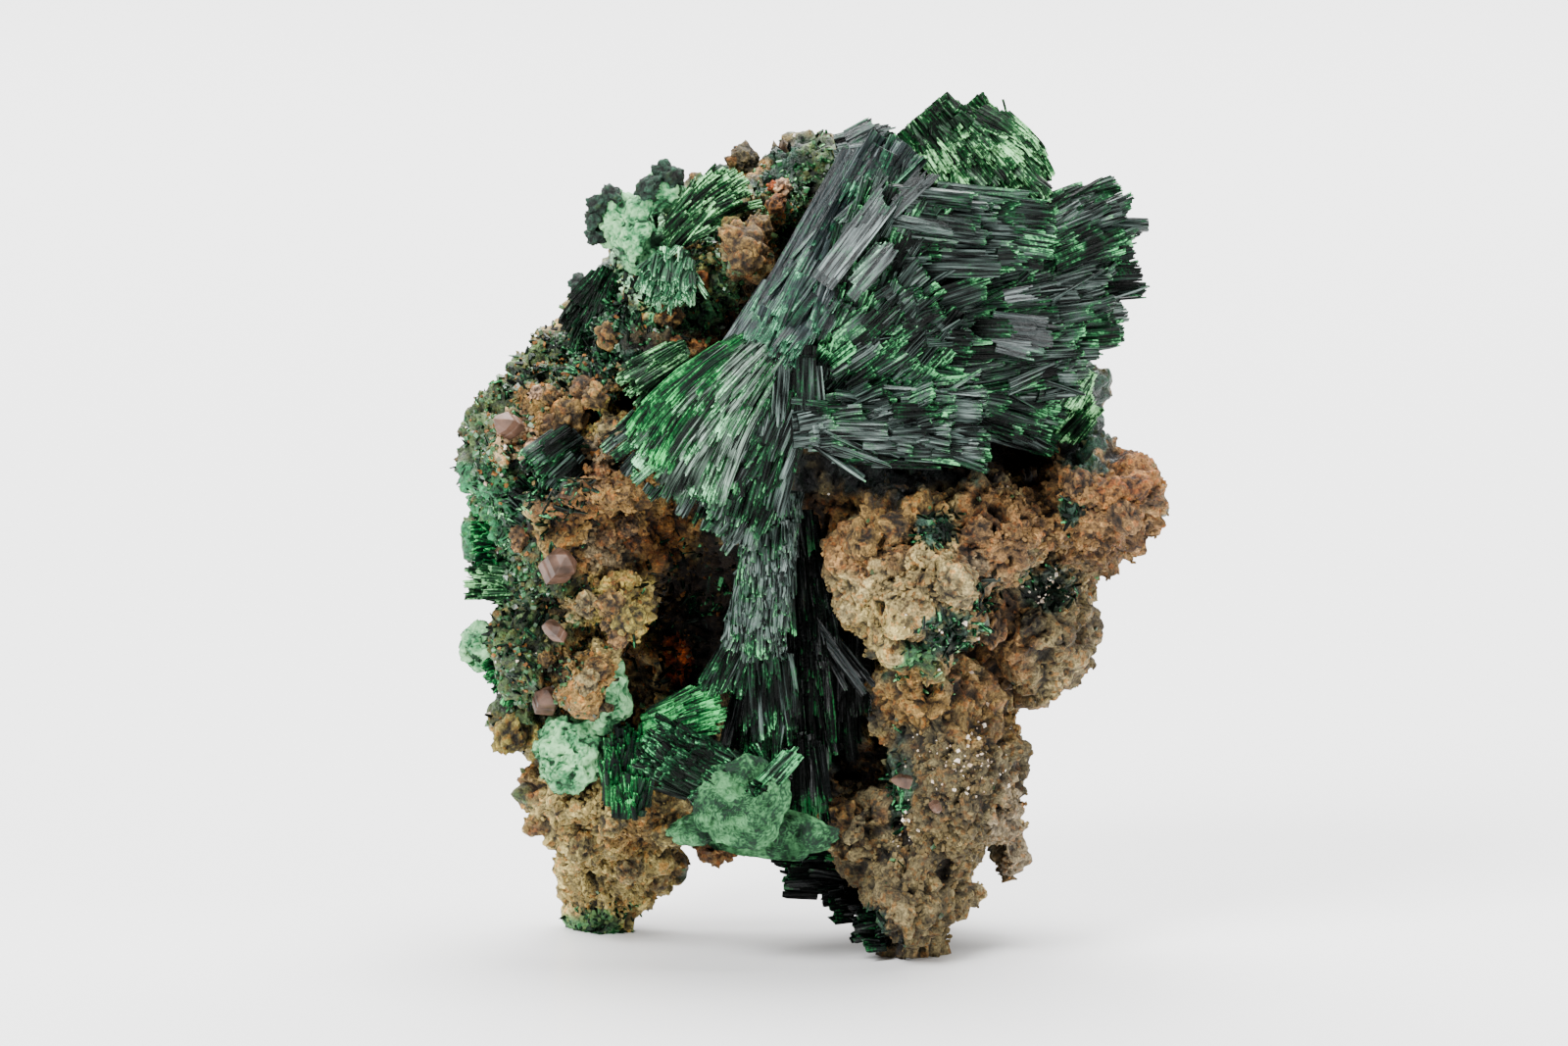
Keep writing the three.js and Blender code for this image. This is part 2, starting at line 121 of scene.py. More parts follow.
def noise(points: Array, size: float, seed: int) -> Array:
    """Return gradient noise, about -1 to 1, whose bumps are about size apart.

    Each corner of a point's cell has a slope of its own; the heights that the eight slopes
    give at the point are blended by the cubic S curve along each axis.

    Args:
        points: Places, one a row.
        size: Width of the cells.
        seed: Picks the pattern.

    Returns:
        A number for each point.
    """
    scaled = points / size
    base = np.floor(scaled).astype(np.int64)
    inner = scaled - base
    fade = inner * inner * (3.0 - 2.0 * inner)
    total = np.zeros(len(points))
    for corner in product((0, 1), repeat=3):
        cell = base + np.array(corner)
        slope = np.stack([cell_value(cell, seed + k) for k in (0, 1, 2)], axis=-1) * 2.0 - 1.0
        height = np.sum(slope * (inner - np.array(corner)), axis=-1)
        share = np.prod(np.where(np.array(corner) == 1, fade, 1.0 - fade), axis=-1)
        total += height * share
    return total * 1.5


def rough_noise(points: Array, size: float, octaves: int, seed: int) -> Array:
    """Return the sum of octaves of noise, each half the size and 0.55 of the strength.

    Args:
        points: Places, one a row.
        size: Width of the cells of the first octave.
        octaves: Number of noises in the sum.
        seed: Picks the pattern.

    Returns:
        A number for each point.
    """
    total = np.zeros(len(points))
    for octave in range(octaves):
        total += noise(points, size * 0.5**octave, seed + 11 * octave) * 0.55**octave
    return total


def cellular(points: Array, size: float, seed: int) -> tuple[Array, Array, Array]:
    """Return how far the nearest and second nearest scattered points are, in cells.

    Args:
        points: Places, one a row.
        size: Width of the cells, each of which holds one scattered point.
        seed: Picks the pattern.

    Returns:
        The nearest distance, the second nearest, and the nearest point's own number, 0 to 1.
    """
    scaled = points / size
    base = np.floor(scaled).astype(np.int64)
    nearest = np.full(len(points), 9.0)
    second = np.full(len(points), 9.0)
    tag = np.zeros(len(points))
    for step in product((-1, 0, 1), repeat=3):
        cell = base + np.array(step)
        spot = cell + np.stack([cell_value(cell, seed + k) for k in (0, 1, 2)], axis=-1)
        distance = np.linalg.norm(scaled - spot, axis=-1)
        closer = distance < nearest
        second = np.where(closer, nearest, np.minimum(second, distance))
        tag = np.where(closer, cell_value(cell, seed + 3), tag)
        nearest = np.minimum(nearest, distance)
    return nearest, second, tag


class Mineral(Enum):
    """Each mineral of the rock, and the painted shade of its hollows: its light tone, its dark tone and how
    glossy it is.
    """

    OCHRE = ("806536", "35250d", 0.1)
    RUST = ("7e5224", "331c08", 0.1)
    ORANGE = ("a84e16", "5a2608", 0.15)
    KHAKI = ("5a5136", "282012", 0.1)
    OLIVE_BROWN = ("6c6040", "2a2212", 0.1)
    RED_BROWN = ("785a34", "2c1c0c", 0.1)
    GREY_TAN = ("97875a", "42351c", 0.1)
    GREY_BROWN = ("746850", "32291c", 0.1)
    OLIVE = ("867838", "342a0e", 0.4)
    OLIVE_TAN = ("a09058", "463818", 0.2)
    GREEN_GRAIN = ("3e522a", "0e1c0c", 0.35)
    LEAF_GREEN = ("4c9460", "184a2c", 0.3)
    EMERALD = ("1a7040", "062c18", 0.4)
    DARK_GREEN = ("1c3c2c", "06120e", 0.5)
    BLACK_GREEN = ("0c1814", "020504", 0.6)
    MINT = ("a8d4ac", "5a9a70", 0.05)
    PEACH = ("c09c78", "7a5840", 0.3)
    # Not a mineral: painted shade for the rock's dark hollows.
    PAINTED_HOLLOW_SHADE = ("241a0e", "060402", 0.15)

    def tones(self) -> tuple[Array, Array]:
        """Return the light and the dark tone as linear colours."""
        return linear(self.value[0]), linear(self.value[1])


@dataclass(frozen=True)
class Patch:
    """An area of one mineral, as an ellipse in the front view with a ragged edge."""

    right: float
    up: float
    half_right: float
    half_up: float
    mineral: Mineral
    strength: float = 1.0

    def weight(self, right: Array, up: Array, ragged: Array, facing: Array) -> Array:
        """Return how much of the patch each point takes, 0 to 1.

        Args:
            right: Place of each point to the right in the front view.
            up: Place of each point upwards in the front view.
            ragged: Noise that roughens the patch's edge.
            facing: How much each point faces the front, 1 for straight.

        Returns:
            The patch's share at each point.
        """
        across = (right - self.right) / self.half_right
        along = (up - self.up) / self.half_up
        distance = np.sqrt(across**2 + along**2) + 0.42 * ragged
        return (1.0 - smooth_step(0.85, 1.15, distance)) * smooth_step(-0.35, 0.05, facing) * self.strength


PATCHES = (
    # Black-green mineral with painted shade of the deep hollow.
    Patch(-0.4, 30, 6.8, 17, Mineral.BLACK_GREEN),
    Patch(-21, 13.5, 9.5, 7.5, Mineral.OLIVE_TAN),
    Patch(-22.5, 5.5, 8, 6.5, Mineral.OLIVE_TAN),
    Patch(-18, 12, 3.4, 2.6, Mineral.RUST, 0.55),
    Patch(-15, 12, 3, 2, Mineral.GREY_TAN, 0.6),
    Patch(-22.8, 1.4, 4.2, 1.8, Mineral.EMERALD, 0.85),
    Patch(-30.6, 21.8, 3.8, 3.4, Mineral.OLIVE),
    Patch(-28.5, 28.8, 7, 6.5, Mineral.GREEN_GRAIN),
    Patch(-25.5, 27.5, 2.4, 3.4, Mineral.OCHRE, 0.6),
    Patch(-19, 37.5, 9.5, 8.5, Mineral.OCHRE),
    Patch(-22.6, 28.6, 3.4, 4.2, Mineral.OCHRE),
    Patch(-27, 35, 5, 4, Mineral.GREEN_GRAIN, 0.8),
    Patch(-20.5, 40.6, 3, 2.2, Mineral.GREY_BROWN, 0.8),
    Patch(-15.4, 41.4, 2.2, 3.4, Mineral.RUST, 0.8),
    Patch(-19, 34.5, 4.6, 4.2, Mineral.OLIVE, 0.85),
    Patch(-25.6, 34.4, 2, 1.8, Mineral.GREY_TAN),
    # Painted shade in the hollow left of the centre sheaf.
    Patch(-11.6, 33, 4.6, 9, Mineral.PAINTED_HOLLOW_SHADE),
    Patch(-14.2, 29.8, 1.5, 2.4, Mineral.ORANGE),
    Patch(-33, 53.2, 5.6, 6, Mineral.GREEN_GRAIN),
    Patch(-33.2, 44.4, 4.4, 5.6, Mineral.EMERALD),
    Patch(-32, 37.6, 6, 2.2, Mineral.GREEN_GRAIN),
    Patch(-29.8, 52.4, 2.6, 3, Mineral.PEACH, 0.7),
    Patch(-25.4, 55.6, 4.6, 4.2, Mineral.OCHRE),
    Patch(-20.4, 53.4, 3.4, 3.2, Mineral.OLIVE),
    Patch(-16.6, 56.9, 2.8, 2.2, Mineral.RUST),
    Patch(-21, 50.8, 4.4, 1.8, Mineral.GREY_BROWN),
    Patch(-22.8, 46.4, 6.8, 3.2, Mineral.RUST, 0.6),
    Patch(-18.6, 45.6, 3.4, 2.6, Mineral.OCHRE, 0.8),
    Patch(-27, 48.4, 3.2, 3.2, Mineral.DARK_GREEN),
    Patch(-22, 60.6, 5, 3, Mineral.DARK_GREEN),
    Patch(-27, 59.4, 4, 3, Mineral.GREEN_GRAIN),
    # Painted shade in a hollow.
    Patch(-13.4, 62.6, 6.6, 2.6, Mineral.PAINTED_HOLLOW_SHADE, 0.85),
    Patch(-11.4, 60.4, 3.6, 2, Mineral.RUST, 0.8),
    Patch(-21.4, 64.6, 3.6, 3, Mineral.DARK_GREEN),
    Patch(-13, 66.6, 5, 4.2, Mineral.LEAF_GREEN, 0.8),
    Patch(-17.6, 72.6, 4.8, 6.4, Mineral.MINT),
    Patch(-22.6, 70.6, 2, 4, Mineral.DARK_GREEN),
    Patch(-15.8, 78.4, 2.6, 1.6, Mineral.DARK_GREEN),
    Patch(-11.4, 70.8, 2.4, 4, Mineral.OLIVE, 0.7),
    Patch(-13.6, 69.4, 1.2, 1.8, Mineral.ORANGE),
    Patch(-8.6, 75.4, 5.4, 3.4, Mineral.LEAF_GREEN),
    Patch(-3.2, 75.4, 4.6, 4.6, Mineral.OCHRE, 0.8),
    Patch(-1, 73, 2.4, 3.6, Mineral.GREEN_GRAIN),
    Patch(-2, 79.6, 5.6, 2.6, Mineral.DARK_GREEN),
    Patch(-7, 81.2, 2, 2.4, Mineral.OCHRE),
    Patch(4, 79, 5, 4.4, Mineral.GREEN_GRAIN),
    Patch(9.5, 38, 10, 10.5, Mineral.GREY_TAN),
    Patch(3.6, 42.6, 4.6, 4.6, Mineral.RUST, 0.7),
    Patch(8, 45, 6, 2.2, Mineral.OCHRE),
    Patch(12.6, 43, 2.4, 2, Mineral.DARK_GREEN),
    Patch(6, 32.4, 3, 3.6, Mineral.OLIVE_TAN, 0.8),
    Patch(16.8, 35.8, 2, 3, Mineral.DARK_GREEN),
    Patch(13.6, 32.2, 3.4, 2.6, Mineral.DARK_GREEN),
    Patch(10.6, 28, 2.6, 3, Mineral.EMERALD, 0.9),
    Patch(18.2, 40.6, 4.4, 7, Mineral.RED_BROWN),
    Patch(16.4, 38.2, 1.7, 2, Mineral.GREY_BROWN, 0.7),
    Patch(28.6, 45.2, 9, 7.5, Mineral.RED_BROWN),
    Patch(31.6, 47.6, 3.4, 3.2, Mineral.RUST, 0.6),
    Patch(25.9, 44.8, 1.1, 2.2, Mineral.DARK_GREEN),
    Patch(24, 32, 7, 8, Mineral.OLIVE_BROWN),
    Patch(20.4, 32.6, 2.6, 3.4, Mineral.RED_BROWN, 0.8),
    Patch(23.8, 36.8, 2.8, 2.2, Mineral.DARK_GREEN, 0.9),
    Patch(16, 27, 5, 4, Mineral.RUST, 0.5),
    Patch(14, 17, 9, 10, Mineral.KHAKI),
    Patch(9.6, 25.4, 3.6, 3, Mineral.OCHRE),
    Patch(16.6, 23.4, 4.4, 3, Mineral.OCHRE, 0.6),
    Patch(8.6, 16, 1.2, 5.6, Mineral.DARK_GREEN, 0.9),
    Patch(10.6, 4.6, 7, 8.5, Mineral.OLIVE_BROWN),
    Patch(5.4, 2, 2, 2.2, Mineral.DARK_GREEN),
    Patch(3.2, 14, 3.4, 3.4, Mineral.KHAKI),
    Patch(2.6, 9.4, 3.4, 1.8, Mineral.OLIVE_BROWN),
    Patch(20.4, 11.6, 2.6, 6, Mineral.GREY_BROWN),
    Patch(-9.2, 9.4, 3.6, 2.2, Mineral.RED_BROWN),
    # Black-green mineral with painted shade under the lower blade.
    Patch(7.4, 49.6, 9, 3.2, Mineral.BLACK_GREEN),
    # Painted shade in the hollow under the main spray.
    Patch(19, 50.6, 5, 2.4, Mineral.PAINTED_HOLLOW_SHADE),
    Patch(27.4, 57, 3.6, 8, Mineral.DARK_GREEN),
    # Painted shade in a hollow.
    Patch(-13, 20, 4, 3, Mineral.PAINTED_HOLLOW_SHADE),
)


@dataclass(frozen=True)
class RockTint:
    """Colours the rock: a mixture of minerals all round, and the patches in front."""

    patches: tuple[Patch, ...] = PATCHES

    def paint(self, points: Array, normals: Array, crumbs: Array) -> tuple[Array, Array]:
        """Return the linear colour and the gloss of every point.

        Args:
            points: Places on the rock before the fine relief.
            normals: The way the rock faces there.
            crumbs: A number from 0 to 1 that is the same all over one crumb.

        Returns:
            The colours, one a row, and the gloss from 0 to 1.
        """
        mottle = np.clip(0.5 + 0.42 * rough_noise(points, 2.4, 4, 71) + 0.5 * (crumbs - 0.5), 0.0, 1.0)
        colour = np.zeros((len(points), 3))
        gloss = np.zeros(len(points))
        leftness = smooth_step(2.0, -12.0, points[:, 0])
        spread = rough_noise(points, 13.0, 3, 91)
        scattered = rough_noise(points, 4.6, 3, 97)
        layers = (
            (Mineral.KHAKI, np.ones(len(points))),
            (Mineral.RED_BROWN, smooth_step(-0.05, 0.25, spread)),
            (Mineral.OLIVE_TAN, smooth_step(0.05, 0.35, -spread) * leftness),
            (Mineral.GREY_TAN, smooth_step(0.3, 0.5, scattered)),
            (Mineral.GREEN_GRAIN, smooth_step(0.22, 0.42, -scattered) * (0.25 + 0.75 * leftness)),
            (Mineral.DARK_GREEN, smooth_step(0.5, 0.62, -scattered)),
        )
        for mineral, share in layers:
            colour, gloss = self._cover(colour, gloss, mineral, share, mottle)
        front = points + MIDDLE
        up = front[:, 2] * math.cos(LOOK_DOWN) + front[:, 1] * math.sin(LOOK_DOWN)
        facing = -normals[:, 1] * math.cos(LOOK_DOWN) + normals[:, 2] * math.sin(LOOK_DOWN)
        ragged = rough_noise(points, 2.8, 4, 131)
        for patch in self.patches:
            share = patch.weight(front[:, 0], up, ragged, facing)
            colour, gloss = self._cover(colour, gloss, patch.mineral, share, mottle)
        return colour, gloss

    @staticmethod
    def _cover(
        colour: Array, gloss: Array, mineral: Mineral, share: Array, mottle: Array
    ) -> tuple[Array, Array]:
        """Return colour and gloss with the mineral laid over them by its share.

        Args:
            colour: Linear colour of each point.
            gloss: Gloss of each point, 0 to 1.
            mineral: The mineral that lies on top.
            share: How much of each point it takes.
            mottle: Where between its dark and light tone each point is.

        Returns:
            The new colours and gloss.
        """
        light, dark = mineral.tones()
        own = dark + (light - dark) * mottle[:, None]
        colour = colour + (own - colour) * share[:, None]
        gloss = gloss + (mineral.value[2] - gloss) * share
        return colour, gloss


@dataclass
class Surface:
    """A closed mesh as arrays: points in millimetres and faces of four corners."""

    points: Array
    faces: Array

    def normals(self) -> Array:
        """Return each point's normal, as the sum of its faces' normals by area."""
        corners = self.points[self.faces]
        across = np.cross(corners[:, 2] - corners[:, 0], corners[:, 3] - corners[:, 1])
        flat = self.faces.ravel()
        repeated = np.repeat(across, 4, axis=0)
        total = [np.bincount(flat, repeated[:, k], len(self.points)) for k in range(3)]
        return unit(np.stack(total, axis=-1))

    def smoothed(self, rounds: int) -> "Surface":
        """Return the surface with each point moved to the middle of its neighbours, rounds times.

        Args:
            rounds: How often the points are moved.

        Returns:
            The smoother surface with the same faces.
        """
        size = len(self.points)
        first = self.faces.ravel()
        second = np.roll(self.faces, -1, axis=1).ravel()
        count = np.bincount(first, minlength=size) + np.bincount(second, minlength=size)
        points = self.points
        for _ in range(rounds):
            total = [
                np.bincount(first, points[second, k], size) + np.bincount(second, points[first, k], size)
                for k in range(3)
            ]
            points = np.stack(total, axis=-1) / count[:, None]
        return Surface(points, self.faces)

    def depth(self, normals: Array, rounds: int) -> Array:
        """Return how far each point lies under the surface that rounds of smoothing give."""
        return np.sum((self.smoothed(rounds).points - self.points) * normals, axis=1)


def solid_surface(node: str, voxel: float) -> Surface:
    """Return a CAD node's outer surface as an even mesh of four-cornered faces.

    Args:
        node: Name of the CAD node, which is copied and left as it is.
        voxel: Width of the faces in millimetres.

    Returns:
        The surface in millimetres.
    """
    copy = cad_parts[node].copy()
    copy.data = copy.data.copy()
    copy.hide_viewport = False
    bpy.context.scene.collection.objects.link(copy)
    weld = copy.modifiers.new("weld", "WELD")
    weld.merge_threshold = 0.00001
    remesh = copy.modifiers.new("remesh", "REMESH")
    remesh.mode = "VOXEL"
    remesh.voxel_size = voxel * MM
    bpy.context.view_layer.update()
    shape = copy.evaluated_get(bpy.context.evaluated_depsgraph_get()).to_mesh()
    points = np.empty(len(shape.vertices) * 3)
    shape.vertices.foreach_get("co", points)
    faces = np.empty(len(shape.loops), dtype=np.int64)
    shape.loops.foreach_get("vertex_index", faces)
    bpy.data.objects.remove(copy)
    return Surface(points.reshape(-1, 3) / MM, faces.reshape(-1, 4))


def make_object(
    name: str,
    points: Array,
    faces: Array,
    numbers: dict[str, Array],
    colours: Array | None = None,
    chart: Array | None = None,
    soft: bool = True,
) -> bpy.types.Object:
    """Return a new object from arrays.

    Args:
        name: The object's name.
        points: Places in millimetres.
        faces: Corner numbers, four to a face.
        numbers: Values for each point, by attribute name.
        colours: Linear colours for each point, stored as "tint".
        chart: Flat coordinates for each point, stored as the UV map.
        soft: True for smooth shading.

    Returns:
        The object, at the origin.
    """
    mesh = bpy.data.meshes.new(name)
    mesh.vertices.add(len(points))
    mesh.vertices.foreach_set("co", (points * MM).astype(np.float32).ravel())
    mesh.loops.add(faces.size)
    mesh.loops.foreach_set("vertex_index", faces.astype(np.int32).ravel())
    mesh.polygons.add(len(faces))
    mesh.polygons.foreach_set("loop_start", np.arange(0, faces.size, 4, dtype=np.int32))
    mesh.update(calc_edges=True)
    mesh.polygons.foreach_set("use_smooth", np.full(len(faces), soft))
    for key, values in numbers.items():
        layer = mesh.attributes.new(key, "FLOAT", "POINT")
        layer.data.foreach_set("value", values.astype(np.float32))
    if colours is not None:
        layer = mesh.attributes.new("tint", "FLOAT_COLOR", "POINT")
        full = np.concatenate([colours, np.ones((len(points), 1))], axis=1)
        layer.data.foreach_set("color", full.astype(np.float32).ravel())
    if chart is not None:
        corners = chart[faces.ravel()].astype(np.float32)
        mesh.uv_layers.new(name="UVMap").data.foreach_set("uv", corners.ravel())
    thing = bpy.data.objects.new(name, mesh)
    bpy.context.scene.collection.objects.link(thing)
    return thing


def ring_faces(rows: int, columns: int) -> Array:
    """Return the four-cornered faces between closed rings of points that follow each other.

    Args:
        rows: Number of rings.
        columns: Number of points in a ring.

    Returns:
        Four corner numbers to a face.
    """
    row = np.arange(rows - 1)[:, None] * columns
    column = np.arange(columns)[None, :]
    after = (column + 1) % columns
    corners = [row + column, row + columns + column, row + columns + after, row + after]
    return np.stack(corners, axis=-1).reshape(-1, 4)


def wall_faces(rows: int, columns: int) -> Array:
    """Return the faces of ring_faces, turned so that they look the other way."""
    return np.roll(ring_faces(rows, columns)[:, ::-1], 1, axis=1)


def bar_faces(sections: int, count: int) -> Array:
    """Return the faces of bars that have four corners and closed ends.

    Args:
        sections: Number of places along a bar, each with four points.
        count: Number of bars, whose points follow each other.

    Returns:
        Four corner numbers to a face.
    """
    size = 4 * sections
    ends = np.array([[3, 2, 1, 0], [size - 4, size - 3, size - 2, size - 1]])
    bar = np.concatenate([wall_faces(sections, 4), ends])
    return (bar[None] + size * np.arange(count)[:, None, None]).reshape(-1, 4)


def lid_faces(columns: int) -> Array:
    """Return the four-cornered faces that close a ring with an even number of points."""
    return np.array([[0, k, k + 1, k + 2] for k in range(1, columns - 2, 2)])


def keep_in_box(points: Array) -> Array:
    """Return the points held within the specimen's box and a small margin, and above ground.

    Args:
        points: Places in millimetres, one a row.

    Returns:
        The places, moved where they lay outside.
    """
    margin = (HIGH - LOW) * BOX_MARGIN
    held = np.clip(points, LOW - margin, HIGH + margin)
    held[:, 2] = np.maximum(held[:, 2], 0.0)
    return held


def finish_piece(thing: bpy.types.Object, slot: str, nodes: tuple[str, ...]) -> None:
    """Attach the piece to the root body, hide the CAD nodes that it stands for, and log its faces.

    Args:
        thing: The piece.
        slot: Name of the slot; not used.
        nodes: CAD nodes that the piece replaces, or none.
    """
    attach(thing, "root")
    if nodes:
        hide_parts(*nodes)
    log.info("%s: %d faces", thing.name, len(thing.data.polygons))


@dataclass
class ShaderSheet:
    """A material's node tree with short ways to add and link nodes."""

    name: str
    material: bpy.types.Material = field(init=False)

    def __post_init__(self) -> None:
        """Make the empty material with its surface shader."""
        self.material = bpy.data.materials.new(self.name)
        self.material.use_nodes = True
        self.tree = self.material.node_tree
        self.shader = self.tree.nodes["Principled BSDF"]

    def add(self, kind: str, **settings: object) -> bpy.types.Node:
        """Return a new node with its settings and, for names with inputs, its socket values.

        Args:
            kind: Name of the node's type.
            settings: Values by the name of a setting or a socket.

        Returns:
            The node.
        """
        node = self.tree.nodes.new(kind)
        for key, value in settings.items():
            if hasattr(node, key):
                setattr(node, key, value)
            else:
                node.inputs[key.replace("_", " ").title()].default_value = value
        return node

    def link(self, output: bpy.types.NodeSocket, target: bpy.types.NodeSocket) -> None:
        """Link one socket to another."""
        self.tree.links.new(output, target)

    def number(self, attribute: str) -> bpy.types.NodeSocket:
        """Return the socket of a piece's own number."""
        return self.add("ShaderNodeAttribute", attribute_name=attribute).outputs["Fac"]

    def remap(self, source: bpy.types.NodeSocket, low: Pair, high: Pair) -> bpy.types.NodeSocket:
        """Return a value stretched so that low[0] to high[0] becomes low[1] to high[1].

        Args:
            source: The value.
            low: Where the range starts, before and after.
            high: Where it ends, before and after.

        Returns:
            The stretched value, held within the range.
        """
        node = self.add("ShaderNodeMapRange")
        node.inputs["From Min"].default_value, node.inputs["To Min"].default_value = low
        node.inputs["From Max"].default_value, node.inputs["To Max"].default_value = high
        self.link(source, node.inputs["Value"])
        return node.outputs["Result"]

    def math(
        self, operation: str, first: bpy.types.NodeSocket, second: bpy.types.NodeSocket | float
    ) -> bpy.types.NodeSocket:
        """Return the result of an operation on two values.

        Args:
            operation: Name of the operation.
            first: The first value.
            second: The second value, from a node or fixed.

        Returns:
            The result.
        """
        node = self.add("ShaderNodeMath", operation=operation)
        self.link(first, node.inputs[0])
        if isinstance(second, (int, float)):
            node.inputs[1].default_value = second
        else:
            self.link(second, node.inputs[1])
        return node.outputs[0]

    def mix(
        self,
        share: bpy.types.NodeSocket | float,
        first: bpy.types.NodeSocket | Array,
        second: bpy.types.NodeSocket | Array,
        way: str = "MIX",
    ) -> bpy.types.NodeSocket:
        """Return two colours mixed by a share.

        Args:
            share: Share of the second colour, from a node or fixed.
            first: The first colour.
            second: The second colour.
            way: How they are mixed.

        Returns:
            The mixed colour.
        """
        node = self.add("ShaderNodeMix", data_type="RGBA", blend_type=way)
        for socket, value in zip((node.inputs[0], node.inputs[6], node.inputs[7]), (share, first, second)):
            if isinstance(value, bpy.types.NodeSocket):
                self.link(value, socket)
            elif isinstance(value, (int, float)):
                socket.default_value = value
            else:
                socket.default_value = (*value, 1.0)
        return node.outputs[2]

    def texture(
        self, kind: str, coordinates: bpy.types.NodeSocket, scale: float, **settings: object
    ) -> bpy.types.Node:
        """Return a texture node that reads coordinates at a scale.

        Args:
            kind: Name of the node's type.
            coordinates: The places that it reads.
            scale: How often it repeats in a metre.
            settings: More settings by name.

        Returns:
            The node.
        """
        node = self.add(kind, **settings)
        node.inputs["Scale"].default_value = scale
        self.link(coordinates, node.inputs["Vector"])
        return node

    def bump(
        self,
        height: bpy.types.NodeSocket,
        strength: float,
        depth: float,
        under: bpy.types.NodeSocket | None = None,
    ) -> bpy.types.NodeSocket:
        """Return a normal bent by a height, over another one where it is given.

        Args:
            height: The height that bends it.
            strength: How strongly, from 0 to 1.
            depth: Height in metres for a value of 1.
            under: The normal below, if there is one.

        Returns:
            The normal.
        """
        node = self.add("ShaderNodeBump")
        node.inputs["Strength"].default_value = strength
        node.inputs["Distance"].default_value = depth
        self.link(height, node.inputs["Height"])
        if under is not None:
            self.link(under, node.inputs["Normal"])
        return node.outputs["Normal"]


@dataclass(frozen=True)
class RockFinish:
    """Dull, gritty rock: its own tint with painted shade, near black, in its hollows and painted light on
    its high spots, with grit and coloured specks.
    """

    name: str = "limonite rock"
    grit_scale: float = 3900.0
    speck_scale: float = 2200.0
    clump_scale: float = 1100.0
    roughness: Pair = (0.95, 0.3)

    def material(self) -> bpy.types.Material:
        """Return the material."""
        sheet = ShaderSheet(self.name)
        place_now = sheet.add("ShaderNodeTexCoord").outputs["Object"]
        tint = sheet.add("ShaderNodeAttribute", attribute_name="tint").outputs["Color"]
        relief = sheet.number("relief")
        grit = sheet.texture("ShaderNodeTexNoise", place_now, self.grit_scale, detail=4.0).outputs["Fac"]
        specks = sheet.texture("ShaderNodeTexVoronoi", place_now, self.speck_scale)
        clump = sheet.texture("ShaderNodeTexNoise", place_now, self.clump_scale, detail=5.0).outputs["Fac"]
        # Painted shade and light: relief makes the hollows near black, 0.1 of the tint, and the high spots
        # up to 1.36 times brighter.
        shade = sheet.remap(relief, (0.08, 0.1), (0.76, 1.36))
        speckle = sheet.remap(grit, (0.32, 0.42), (0.68, 1.58))
        patchy = sheet.remap(clump, (0.35, 0.72), (0.65, 1.24))
        brightness = sheet.math("MULTIPLY", sheet.math("MULTIPLY", shade, speckle), patchy)
        grey = sheet.add("ShaderNodeCombineColor")
        for channel in range(3):
            sheet.link(brightness, grey.inputs[channel])
        colour = sheet.mix(1.0, tint, grey.outputs[0], "MULTIPLY")
        parts = sheet.add("ShaderNodeSeparateColor")
        sheet.link(specks.outputs["Color"], parts.inputs["Color"])
        is_rusty = sheet.remap(parts.outputs["Blue"], (0.74, 0.0), (0.84, 1.0))
        is_pale = sheet.remap(parts.outputs["Red"], (0.9, 0.0), (0.94, 0.8))
        is_dark = sheet.remap(parts.outputs["Green"], (0.84, 0.0), (0.88, 0.9))
        specks_tint = sheet.mix(is_rusty, np.ones(3), np.array([1.25, 0.85, 0.55]))
        specks_tint = sheet.mix(is_pale, specks_tint, np.array([1.9, 1.9, 1.8]))
        specks_tint = sheet.mix(is_dark, specks_tint, np.array([0.36, 0.34, 0.32]))
        colour = sheet.mix(1.0, colour, specks_tint, "MULTIPLY")
        sheet.link(colour, sheet.shader.inputs["Base Color"])
        rough = sheet.remap(sheet.number("gloss"), (0.0, self.roughness[0]), (0.6, self.roughness[1]))
        sheet.link(rough, sheet.shader.inputs["Roughness"])
        coarse = sheet.bump(clump, 0.8, 0.0004)
        sheet.link(sheet.bump(grit, 1.0, 0.00028, coarse), sheet.shader.inputs["Normal"])
        sheet.shader.inputs["Specular IOR Level"].default_value = 0.35
        return sheet.material


